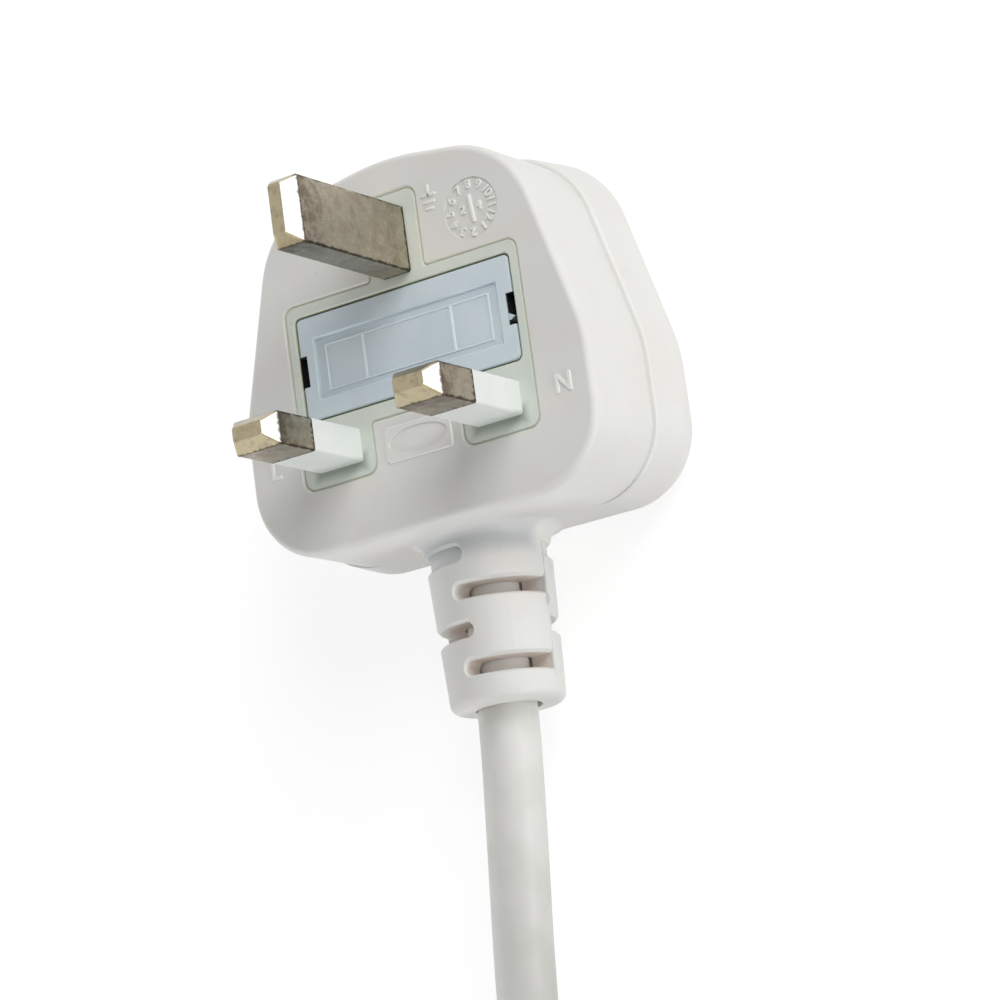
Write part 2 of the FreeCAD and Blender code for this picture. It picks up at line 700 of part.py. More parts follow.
def bent_tube(points, radius, label):
    """A round tube along straight runs joined by tangent arcs as large as the runs allow."""
    points = [Vec(*p) for p in points]
    edges, here, radii = [], points[0], []
    for i in range(1, len(points) - 1):
        back, on = points[i - 1] - points[i], points[i + 1] - points[i]
        reach = 0.45 * min(back.Length, on.Length)
        half = back.getAngle(on) / 2
        radii.append(reach * math.tan(half))
        back.normalize()
        on.normalize()
        middle = back + on
        middle.normalize()
        start, end = points[i] + back * reach, points[i] + on * reach
        bulge = points[i] + middle * (radii[-1] / math.sin(half) - radii[-1])
        edges.append(Part.LineSegment(here, start).toShape())
        edges.append(Part.Arc(start, bulge, end).toShape())
        here = end
    edges.append(Part.LineSegment(here, points[-1]).toShape())
    path = Part.Wire(edges)
    section = Part.Wire([Part.makeCircle(radius, points[0], points[1] - points[0])])
    solid = path.makePipeShell([section], True, False)
    share = solid.Volume / (math.pi * radius * radius * path.Length)
    print(label, "length", round(path.Length, 1), "bend radii", [round(r, 1) for r in radii],
          "volume share", round(share, 4))
    return solid


def power_core(side, crimp_x, crimp_end_y, label):
    """A core that leaves the sheath beside the middle and steps across to its crimp."""
    start_y, start_z = cord_route[0][1], cord_axis_z + core_rise
    end_y, end_z = crimp_end_y - core_strip_gap, carrier_back_z - crimp_radius
    route = [
        (side * core_side, start_y, start_z),
        (side * core_side, start_y + core_straight, start_z),
        (crimp_x, end_y - core_straight, end_z),
        (crimp_x, end_y, end_z),
    ]
    return bent_tube(route, core_radius, label)


def earth_core():
    """The core that runs straight on under the carrier to the earth crimp."""
    z = cover_back_z - crimp_radius
    return rod(core_radius, Vec(0, cord_route[0][1], z), Vec(0, earth_crimp_end_y - core_strip_gap, z))


def conductor(x, end_y, strip_top):
    """Bare copper from the end of a core to the far end of its crimp."""
    start = Vec(x, end_y - core_strip_gap, strip_top - crimp_radius)
    return rod(conductor_radius, start, start + Vec(0, core_strip_gap + crimp_length, 0))


def on_coil(radius, angle, z):
    """Point on a circle about the coil's centre."""
    a = math.radians(angle)
    return coil_centre + Vec(radius * math.cos(a), radius * math.sin(a), z)


def round_coil(angle):
    """Direction along a turn at the given angle, counter-clockwise."""
    a = math.radians(angle)
    return Vec(-math.sin(a), math.cos(a), 0)


def coil_entry():
    """The point where the cord meets the outermost turn, and its direction there."""
    return on_coil(coil_outer_turn, coil_join_angle, cord_radius), round_coil(coil_join_angle)


def lead_in_points():
    """Where the coil's own solid starts, the corner where the cord reaches the floor, and the join."""
    join, onward = coil_entry()
    corner = join - onward * coil_lead_in
    last = Vec(*cord_route[-1])
    return [corner + (last - corner) * coil_lead_in_share, corner, join]


def ring_about_coil(inner, outer, z0, z1):
    """A square-cornered ring about the coil's axis."""
    corners = [coil_centre + Vec(r, 0, z) for r, z in ((inner, z0), (outer, z0), (outer, z1), (inner, z1))]
    face = Part.Face(Part.makePolygon(corners + corners[:1]))
    return face.revolve(coil_centre, Vec(0, 0, 1), 360)


def tie_block(x0, x1, z0, z1, width, radius):
    """A block across the bundle with its four long edges rounded."""
    solid = block(x0, x1, -width / 2, width / 2, z0, z1)
    return solid.makeFillet(radius, [e for e in solid.Edges if e.BoundBox.YLength > width / 2])


def coil_tie():
    """Strap pulled tight round the coil's bundle, so that it bites into the turns."""
    inner, outer, top = coil_inner_wall + tie_bite, coil_outer_wall - tie_bite, coil_height - tie_bite
    strap = tie_block(inner - tie_thickness, outer + tie_thickness, 0, top + tie_thickness,
                      tie_width, tie_corner_radius)
    inside = tie_block(inner, outer, tie_thickness, top, 2 * tie_width, tie_corner_radius - tie_thickness)
    strap = strap.cut(inside)
    strap.rotate(Vec(0, 0, 0), Vec(0, 0, 1), tie_angle)
    strap.translate(coil_centre)
    return strap


def top_turn():
    """The last stretch of the cord, which lies in the groove between the turns of the top layer."""
    circle = Part.makeCircle(cord_radius, on_coil(coil_middle_radius, top_turn_start_angle, top_turn_z),
                             round_coil(top_turn_start_angle))
    sweep = far_end_angle - top_turn_start_angle
    return Part.Face(Part.Wire([circle])).revolve(coil_centre, Vec(0, 0, 1), sweep)


def cord_coil():
    """Outer shape of the wound cord, with its lead-in and the last stretch on top."""
    ring = ring_about_coil(coil_inner_wall, coil_outer_wall, coil_inset, coil_height)
    ring = ring.makeChamfer(coil_edge_chamfer, [e for e in ring.Edges if e.Length > 4 * coil_inner_wall])
    lead_in = bent_tube(lead_in_points(), cord_radius, "lead-in")
    return ring.fuse(lead_in).fuse(top_turn()).cut(coil_tie())


def end_core_route(side, rise):
    """A stripped core's points: out of the sheath's end, down onto the top layer and along it."""
    radius = coil_middle_radius + side * coil_pitch / 2
    start = on_coil(coil_middle_radius + side * core_side, far_end_angle, top_turn_z + rise)
    points = [start, start + round_coil(far_end_angle) * end_core_straight]
    for along in (end_core_drop_length, end_core_lying_length / 2, end_core_lying_length / 2):
        onward = points[-1] - coil_centre
        angle = math.degrees(math.atan2(onward.y, onward.x) + along / radius)
        points.append(on_coil(radius, angle, coil_height + core_radius))
    return points


def end_core(side, rise, label):
    return bent_tube(end_core_route(side, rise), core_radius, label)


def end_ferrules():
    """The three metal ferrules on the ends of the cores, as one set."""
    ferrules = []
    for side, rise in end_cores.values():
        before, end = end_core_route(side, rise)[-2:]
        onward = end - before
        onward.normalize()
        ferrules.append(rod(ferrule_radius, end, end + onward * ferrule_length))
    return Part.makeCompound(ferrules)


def cord_tube():
    return bent_tube(cord_route + [tuple(lead_in_points()[0])], cord_radius, "cord")


def build():
    """Every sub-part of the plug by name."""
    parts = {
        "pin_carrier": pin_carrier(),
        "earth_pin": earth_pin(),
        "live_pin": power_pin(-pin_centre_x),
        "neutral_pin": power_pin(pin_centre_x),
        "live_sleeve": sleeve(-pin_centre_x),
        "neutral_sleeve": sleeve(pin_centre_x),
        "fuse_carrier": fuse_carrier(),
        "fuse_tube": fuse_tube(),
        "fuse_cap_line": fuse_cap(-1),
        "fuse_cap_load": fuse_cap(1),
        "fuse_element": fuse_element(),
        "line_clip": line_clip(),
        "load_clip": load_clip(),
        "neutral_terminal": neutral_terminal(),
        "earth_terminal": earth_terminal(),
        "live_conductor": conductor(load_crimp_x, load_crimp_end_y, carrier_back_z),
        "neutral_conductor": conductor(neutral_crimp_x, neutral_crimp_end_y, carrier_back_z),
        "earth_conductor": conductor(0, earth_crimp_end_y, cover_back_z),
        "brown_core": power_core(-1, load_crimp_x, load_crimp_end_y, "brown core"),
        "blue_core": power_core(1, neutral_crimp_x, neutral_crimp_end_y, "blue core"),
        "earth_core": earth_core(),
    }
    crimps = [
        crimp_envelope(load_crimp_x, load_crimp_end_y, carrier_back_z),
        crimp_envelope(neutral_crimp_x, neutral_crimp_end_y, carrier_back_z),
        crimp_envelope(0, earth_crimp_end_y, cover_back_z),
    ]
    covered = ("line_clip", "load_clip", "neutral_terminal", "live_pin", "neutral_pin")
    parts["inner_cover"] = inner_cover([parts[name] for name in covered])
    behind = [rounded_prism(carrier_corners(0), cover_back_z, carrier_back_z)] + crimps
    behind += [parts[name] for name in ("load_clip", "neutral_terminal", "earth_terminal", "earth_pin",
                                        "brown_core", "blue_core", "earth_core",
                                        "live_conductor", "neutral_conductor", "earth_conductor")]
    parts["body_moulding"] = body_moulding(behind)
    parts["cord_tube"] = cord_tube()
    parts["cord_coil"] = cord_coil()
    parts["coil_tie"] = coil_tie()
    for name, (side, rise) in end_cores.items():
        parts[name] = end_core(side, rise, name)
    parts["end_ferrules"] = end_ferrules()
    return parts


def main():
    os.makedirs("parts", exist_ok=True)
    for name, shape in build().items():
        print(name, "solids", len(shape.Solids), "valid", shape.isValid(), "volume", round(shape.Volume, 1))
        shape.exportStep("parts/" + name + ".step")


main()
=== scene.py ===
"""Looks of a moulded three pin mains plug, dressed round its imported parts.

The plug lies on its back on a pale floor with its pins up, and its cord runs off to a neat coil.
Units are metres, in the plug's own frame: +Z out of the face along the pins, +Y towards the earth
pin, and the origin on the flat back under the line of the live and neutral pins.
"""

import logging
import math
from dataclasses import dataclass
from enum import Enum
from typing import Any, Sequence

import bmesh
import bpy
from mathutils import Matrix, Vector


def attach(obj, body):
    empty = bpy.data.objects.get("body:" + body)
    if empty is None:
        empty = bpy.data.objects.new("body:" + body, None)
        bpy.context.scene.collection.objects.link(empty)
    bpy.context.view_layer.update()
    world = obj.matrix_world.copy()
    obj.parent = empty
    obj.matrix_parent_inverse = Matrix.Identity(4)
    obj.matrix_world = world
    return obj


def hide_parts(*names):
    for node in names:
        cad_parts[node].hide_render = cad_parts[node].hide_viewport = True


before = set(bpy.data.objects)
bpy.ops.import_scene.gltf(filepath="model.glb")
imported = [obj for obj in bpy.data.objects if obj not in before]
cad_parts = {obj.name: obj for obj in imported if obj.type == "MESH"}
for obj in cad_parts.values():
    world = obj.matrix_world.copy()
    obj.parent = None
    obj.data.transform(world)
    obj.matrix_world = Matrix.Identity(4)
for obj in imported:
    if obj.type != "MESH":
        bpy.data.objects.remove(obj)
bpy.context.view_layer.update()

LOG = logging.getLogger("plug")
MM = 0.001
PLUG = "plug"
DRAWER = "fuse_drawer"
FACE = 21.0 * MM
CARRIER_FACE = 20.9 * MM
PIN_X = 11.115 * MM
CORD_Z = 9.5 * MM
SMOOTH_ANGLE = math.radians(40)
ROUNDING = 0.35
TEXT_BEVEL = 0.3
BEVEL_FACES = 2

Point = tuple[float, float, float]
Pair = tuple[float, float]
Colour = tuple[float, float, float]
Socket = bpy.types.NodeSocket
Sockets = bpy.types.bpy_prop_collection
Node = bpy.types.Node
Tree = bpy.types.NodeTree
Material = bpy.types.Material
Piece = bpy.types.Object


class Stretch(Enum):
    """Which way the drawing or rolling lines of a metal run, as noise scales along X, Y and Z."""

    ALONG_X = (400.0, 5000.0, 5000.0)
    ACROSS_PIN = (700.0, 700.0, 5200.0)


def mm(*values: float) -> tuple[float, ...]:
    """Turns millimetres into metres."""
    return tuple(value * MM for value in values)


def tone(red: int, green: int, blue: int) -> Colour:
    """Turns a screen colour into the linear colour that shaders take.

    Args:
        red: Red, from 0 to 255.
        green: Green, from 0 to 255.
        blue: Blue, from 0 to 255.

    Returns:
        The linear colour.
    """
    parts = [c / 255 for c in (red, green, blue)]
    return tuple(c / 12.92 if c <= 0.04045 else ((c + 0.055) / 1.055) ** 2.4 for c in parts)


def opaque(colour: Colour) -> tuple[float, float, float, float]:
    """Adds full alpha to a colour."""
    return (*colour, 1.0)


class Graph:
    """A node tree being wired, in a material, a world or a shader node group."""

    def __init__(self, tree: Tree) -> None:
        """Starts from an empty tree.

        Args:
            tree: The tree, whose nodes are cleared.
        """
        tree.nodes.clear()
        self.tree = tree

    def add(self, kind: str, inputs: dict[Any, Any] | None = None, **settings: Any) -> Node:
        """Adds a node.

        Args:
            kind: The node's type name.
            inputs: Values or sockets for its inputs, by name or number.
            **settings: The node's own properties.

        Returns:
            The node.
        """
        node = self.tree.nodes.new(kind)
        for name, value in settings.items():
            setattr(node, name, value)
        for name, value in (inputs or {}).items():
            self.feed(node.inputs[name], value)
        return node

    def feed(self, socket: Socket, value: Any) -> None:
        """Links a socket to another, or sets its value."""
        if isinstance(value, Socket):
            self.tree.links.new(value, socket)
        else:
            socket.default_value = value

    def maths(self, operation: str, first: Any, second: Any = 0.0) -> Socket:
        """Adds a Math node and returns its result."""
        return self.add("ShaderNodeMath", {0: first, 1: second}, operation=operation).outputs[0]

    def times(self, first: Any, second: Any) -> Socket:
        """Multiplies two values."""
        return self.maths("MULTIPLY", first, second)

    def vector_maths(self, operation: str, *inputs: Any) -> Socket:
        """Adds a Vector Math node and returns its result."""
        node = self.add("ShaderNodeVectorMath", dict(enumerate(inputs)), operation=operation)
        return node.outputs["Value" if operation == "LENGTH" else "Vector"]

    def axes(self, vector: Any) -> Sockets:
        """Splits a vector into its X, Y and Z."""
        return self.add("ShaderNodeSeparateXYZ", {0: vector}).outputs

    def step(self, value: Any, low: Any, high: Any) -> Socket:
        """Rises smoothly from 0 at low to 1 at high."""
        inputs = {"Value": value, "From Min": low, "From Max": high}
        node = self.add("ShaderNodeMapRange", inputs, interpolation_type="SMOOTHSTEP")
        return node.outputs["Result"]

    def fall(self, value: Any, low: Any, high: Any) -> Socket:
        """Falls smoothly from 1 at low to 0 at high."""
        return self.maths("SUBTRACT", 1.0, self.step(value, low, high))

    def noise(self, vector: Any, scale: Any, detail: float = 2.0, rough: float = 0.5) -> Socket:
        """Adds a noise texture and returns its value."""
        inputs = {"Vector": vector, "Scale": scale, "Detail": detail, "Roughness": rough}
        return self.add("ShaderNodeTexNoise", inputs).outputs["Fac"]

    def blend(self, share: Any, first: Any, second: Any) -> Socket:
        """Mixes two colours by a share of the second."""
        node = self.add("ShaderNodeMix", data_type="RGBA")
        self.feed(node.inputs["Factor"], share)
        for side, colour in (("A", first), ("B", second)):
            self.feed(node.inputs[side], opaque(colour) if isinstance(colour, tuple) else colour)
        return node.outputs["Result"]

    def spread(self, value: Any, middle: float, below: float, above: float) -> Socket:
        """Lays a value from 0 to 1 out from below to above a middle one."""
        inputs = {"Value": value, "To Min": middle - below, "To Max": middle + above}
        return self.add("ShaderNodeMapRange", inputs).outputs["Result"]

    def bump(self, height: Any, strength: float, distance: float) -> Socket:
        """Turns a height into a normal."""
        inputs = {"Strength": strength, "Distance": distance, "Height": height}
        return self.add("ShaderNodeBump", inputs).outputs["Normal"]

    def mix_shaders(self, share: Socket, first: Node, second: Node) -> Socket:
        """Mixes two shaders by a share of the second."""
        inputs = {0: share, 1: first.outputs[0], 2: second.outputs[0]}
        return self.add("ShaderNodeMixShader", inputs).outputs[0]

    def surface(self, **inputs: Any) -> None:
        """Ends a material in a Principled shader, whose inputs are given with _ for each space."""
        sockets = {name.replace("_", " "): value for name, value in inputs.items()}
        shader = self.add("ShaderNodeBsdfPrincipled", sockets)
        self.add("ShaderNodeOutputMaterial", {"Surface": shader.outputs["BSDF"]})

    @classmethod
    def of_material(cls, name: str) -> tuple[Material, "Graph"]:
        """Starts a material, and returns it with its graph."""
        material = bpy.data.materials.new(name)
        material.use_nodes = True
        return material, cls(material.node_tree)

    def effect(self, tree: Tree, **inputs: Any) -> Sockets:
        """Places a node group, sets its inputs by name and returns its outputs."""
        return self.add("ShaderNodeGroup", inputs, node_tree=tree).outputs

    def place(self) -> Socket:
        """The point's own coordinates, in metres."""
        return self.add("ShaderNodeTexCoord").outputs["Object"]


class Effects:
    """Shader node groups that more than one finish uses, each built once.

    Attributes:
        WAVE_SHARE: Scale of the slow waves, as a share of the grain's.
        SPECK_SIZE: Least size of a speck, and how much it varies, as shares of its cell.
        GRIME_AND_SHADE_SCALE: Scale of the noise in a tint's depth, for grime and for painted shade and
            light.
        EDGE_SCALE: Scale of the noise in the dark edges' width.
        STAIN_SCALE: Scale of a metal's stain.
    """

    WAVE_SHARE = 0.07
    SPECK_SIZE = (0.05, 0.1)
    GRIME_AND_SHADE_SCALE = 900.0
    EDGE_SCALE = 1100.0
    STAIN_SCALE = 760.0

    def __init__(self) -> None:
        """Builds every group."""
        self.grain = self._grain()
        self.specks = self._specks()
        self.seam = self._seam()
        self.edges = self._edges()
        self.streaks = self._streaks()

    @staticmethod
    def _group(name: str, vectors: Sequence[str], values: Sequence[str],
               results: Sequence[str]) -> tuple[Graph, Sockets, Sockets]:
        """Starts a group.

        Args:
            name: The group's name.
            vectors: The names of its vector inputs.
            values: The names of its plain inputs.
            results: The names of its outputs, all plain values.

        Returns:
            The graph, the sockets of the group's inputs and those of its outputs.
        """
        tree = bpy.data.node_groups.new(name, "ShaderNodeTree")
        graph = Graph(tree)
        rows = ((vectors, "INPUT", "Vector"), (values, "INPUT", "Float"), (results, "OUTPUT", "Float"))
        for labels, side, kind in rows:
            for label in labels:
                tree.interface.new_socket(name=label, in_out=side, socket_type=f"NodeSocket{kind}")
        return graph, graph.add("NodeGroupInput").outputs, graph.add("NodeGroupOutput").inputs

    def _grain(self) -> Tree:
        """Fine spark-eroded mould texture with slow waves in tone."""
        graph, given, result = self._group("moulded_grain", ("Vector",), ("Scale",), ("Height", "Tone"))
        vector, scale = given["Vector"], given["Scale"]
        fine = graph.noise(vector, scale, detail=3.0, rough=0.6)
        wave = graph.noise(vector, graph.times(scale, self.WAVE_SHARE))
        graph.feed(result["Height"], graph.times(fine, 0.6))
        graph.feed(result["Tone"], wave)
        return graph.tree

    def _specks(self) -> Tree:
        """Sparse dark specks of dust and burnt resin."""
        graph, given, result = self._group("specks", ("Vector",), ("Scale", "Share"), ("Mask",))
        place = {"Vector": given["Vector"], "Scale": given["Scale"]}
        cells = graph.add("ShaderNodeTexVoronoi", place).outputs
        lot = graph.add("ShaderNodeSeparateColor", {"Color": cells["Color"]}).outputs
        chosen = graph.maths("LESS_THAN", lot["Red"], given["Share"])
        least, more = self.SPECK_SIZE
        size = graph.maths("ADD", graph.times(lot["Green"], more), least)
        near = graph.fall(cells["Distance"], 0.0, size)
        graph.feed(result["Mask"], graph.times(near, chosen))
        return graph.tree

    def _seam(self) -> Tree:
        """A tint that comes on below a level inside a box: grime in a groove, painted shade or light."""
        graph, given, result = self._group("grime_and_painted_shade", ("Vector", "Centre", "Half Size"),
                                           ("Level", "Depth", "Soft"), ("Mask",))
        below = graph.maths("SUBTRACT", given["Level"], graph.axes(given["Vector"])["Z"])
        uneven = graph.noise(given["Vector"], self.GRIME_AND_SHADE_SCALE, detail=3.0, rough=0.6)
        depth = graph.times(given["Depth"], graph.maths("ADD", uneven, 0.5))
        room = self._room(graph, given)
        inside = graph.maths("MINIMUM", graph.maths("MINIMUM", room["X"], room["Y"]), room["Z"])
        within = graph.step(inside, 0.0, given["Soft"])
        graph.feed(result["Mask"], graph.times(graph.step(below, 0.0, depth), within))
        return graph.tree

    @staticmethod
    def _room(graph: Graph, given: Sockets) -> Sockets:
        """Finds how far a point is inside a box, along each axis.

        Args:
            graph: The group's graph.
            given: Its inputs, among them Vector, Centre and Half Size.

        Returns:
            The three distances by axis, below 0 outside the box.
        """
        away = graph.vector_maths("SUBTRACT", given["Vector"], given["Centre"])
        size = graph.vector_maths("ABSOLUTE", away)
        return graph.axes(graph.vector_maths("SUBTRACT", given["Half Size"], size))

    def _edges(self) -> Tree:
        """Tarnish that gathers along the edges of a box-shaped blade."""
        graph, given, result = self._group("blade_edges", ("Vector", "Centre", "Half Size"), ("Width",),
                                           ("Mask",))
        room = self._room(graph, given)
        x, y, z = room["X"], room["Y"], room["Z"]
        low = graph.maths("MINIMUM", x, y)
        high = graph.maths("MAXIMUM", x, y)
        second = graph.maths("MAXIMUM", low, graph.maths("MINIMUM", high, z))
        noise = graph.noise(given["Vector"], self.EDGE_SCALE, detail=4.0, rough=0.65)
        uneven = graph.step(noise, 0.3, 0.75)
        reach = graph.times(given["Width"], graph.maths("ADD", uneven, 0.4))
        graph.feed(result["Mask"], graph.fall(second, graph.times(reach, 0.3), reach))
        return graph.tree

    def _streaks(self) -> Tree:
        """Fine scratches, laid along one axis by the stretch, and a mottled stain."""
        graph, given, result = self._group("streaks", ("Vector", "Stretch"), (), ("Height", "Stain"))
        pulled = graph.vector_maths("MULTIPLY", given["Vector"], given["Stretch"])
        stain = graph.noise(given["Vector"], self.STAIN_SCALE, detail=5.0, rough=0.66)
        graph.feed(result["Height"], graph.noise(pulled, 1.0, detail=3.0, rough=0.7))
        graph.feed(result["Stain"], stain)
        return graph.tree


EFFECTS = Effects()


@dataclass(frozen=True)
class Groove:
    """A box in which a surface is tinted below a level: grime in a groove, painted shade, or painted
    light.

    Attributes:
        centre: Middle of the box.
        half: Half the box's size.
        level: Height under which the tint comes on.
        depth: How far below it the tint is full.
        colour: The tint.
        share: How much of the colour under it the tint hides.
        soft: Over what distance in from the box's sides it comes on.
    """

    centre: Point
    half: Point
    level: float
    depth: float
    colour: Colour
    share: float = 1.0
    soft: float = 0.01 * MM


def carrier_grime(centre: Point, half: Point) -> Groove:
    """The grime on the face in the groove round a box of the carrier."""
    return Groove(centre, half, 20.93 * MM, 0.16 * MM, tone(206, 205, 188), 0.7)


def notch_shade(side: int, low: float = 8.45 * MM, high: float = 12.35 * MM) -> Groove:
    """The dark tint inside the notch at one end of the drawer, from one y to another.

    It stands in for the shadow of the notch, and stays when the drawer is out.

    Args:
        side: 1 for the end towards +X, or -1.
        low: Where the tint starts along Y.
        high: Where it ends.

    Returns:
        The tint.
    """
    return Groove((side * 14.62 * MM, (low + high) / 2, 18.7 * MM),
                  (0.72 * MM, (high - low) / 2, 2.2 * MM), 20.72 * MM, 0.22 * MM, tone(20, 20, 17), 0.97)


def foot_shade(side: int) -> Groove:
    """The soft dark tint on the carrier along the lower foot of one sleeve, for its shade there."""
    return Groove((side * PIN_X, -2.0 * MM, CARRIER_FACE), mm(4.3, 1.6, 3.0), 21.3 * MM,
                  0.3 * MM, tone(112, 122, 108), 0.66, 1.4 * MM)


def sleeve_shade(side: int) -> Groove:
    """The painted shade on a sleeve's own lower side, darker towards its foot."""
    return Groove((side * PIN_X, -2.0 * MM, 22.0 * MM), mm(4.0, 0.5, 3.0), 23.8 * MM,
                  3.0 * MM, tone(158, 170, 162), 0.45, 0.3 * MM)


@dataclass(frozen=True)
class HollowShade:
    """The inside of a round sleeve along Y, with a painted warm shade for the shadow in its slots.

    Attributes:
        x: The sleeve's axis along X.
        z: Its height.
        radius: How far from the axis the warm colour is full.
        fade: Over what further distance it fades.
        low_y: Where it starts.
        high_y: Where it ends.
        colour: The warm colour.
        share: How much of the colour under it the tint hides.
    """

    x: float
    z: float
    radius: float
    fade: float
    low_y: float
    # colour: The colour of the painted warm shade.
    high_y: float
    colour: Colour
    share: float

    def tint(self, graph: Graph, place: Socket, under: Socket) -> Socket:
        """Paints the warm shade over a colour inside the sleeve.

        Args:
            graph: The material's graph.
            place: The point's own coordinates.
            under: The colour before.

        Returns:
            The colour after.
        """
        axes = graph.axes(place)
        across = graph.maths("SUBTRACT", axes["X"], self.x)
        up = graph.maths("SUBTRACT", axes["Z"], self.z)
        away = graph.maths("SQRT", graph.maths("ADD", graph.times(across, across), graph.times(up, up)))
        near = graph.fall(away, self.radius, self.radius + self.fade)
        past_low = graph.step(axes["Y"], self.low_y, self.low_y + self.fade)
        below_high = graph.fall(axes["Y"], self.high_y - self.fade, self.high_y)
        within = graph.times(past_low, below_high)
        share = graph.times(graph.times(near, within), self.share)
        return graph.blend(share, under, self.colour)


@dataclass(frozen=True)
class Finish:
    """What a material looks like.

    Attributes:
        name: The material's name.
    """

    name: str

    def material(self) -> Material:
        """Builds the material.

        Returns:
            The material.
        """
        material, graph = Graph.of_material(self.name)
        self.wire(graph, graph.place())
        return material

    def wire(self, graph: Graph, place: Socket) -> None:
        """Wires the material.

        Args:
            graph: The material's graph.
            place: The point's own coordinates.
        """
        raise NotImplementedError


@dataclass(frozen=True)
class Plastic(Finish):
    """A moulded plastic finish.

    Attributes:
        colour: The colour of a clean surface.
        shade: The colour of its clouds.
        roughness: How matt it is.
        grain: Grain cells per metre.
        relief: Height of the grain in metres.
        specks: Share of speck cells that hold one.
        speck_scale: Speck cells per metre.
        speck_share: How much of the colour under it a speck hides.
        speck_colour: A speck's colour.
        grooves: Where it is tinted by grime, painted shade or painted light.
        hollow_shade: A sleeve in it with painted warm shade inside, if it has one.
    """

    colour: Colour
    shade: Colour
    roughness: float = 0.5
    grain: float = 3200.0
    relief: float = 0.006 * MM
    specks: float = 0.0
    speck_scale: float = 900.0
    speck_share: float = 0.7
    speck_colour: Colour = tone(84, 76, 66)
    grooves: tuple[Groove, ...] = ()
    hollow_shade: HollowShade | None = None

    def wire(self, graph: Graph, place: Socket) -> None:
        """Wires clouds, specks, tints and grain."""
        grain = graph.effect(EFFECTS.grain, Vector=place, Scale=self.grain)
        cloud = graph.step(grain["Tone"], 0.35, 0.65)
        colour = graph.blend(cloud, self.colour, self.shade)
        if self.specks:
            specks = graph.effect(EFFECTS.specks, Vector=place, Scale=self.speck_scale, Share=self.specks)
            dark = graph.times(specks["Mask"], self.speck_share)
            colour = graph.blend(dark, colour, self.speck_colour)
        for groove in self.grooves:
            inputs = {"Vector": place, "Centre": groove.centre, "Half Size": groove.half,
                      "Level": groove.level, "Depth": groove.depth, "Soft": groove.soft}
            # This mask is grime for some grooves, and painted shade or painted light for others.
            grime = graph.effect(EFFECTS.seam, **inputs)
            share = graph.times(grime["Mask"], groove.share)
            colour = graph.blend(share, colour, groove.colour)
        if self.hollow_shade:
            colour = self.hollow_shade.tint(graph, place, colour)
        rough = graph.spread(grain["Tone"], self.roughness, below=0.06, above=0.06)
        normal = graph.bump(grain["Height"], 0.6, self.relief)
        graph.surface(Base_Color=colour, Roughness=rough, Normal=normal, IOR=1.5, Specular_IOR_Level=0.4)


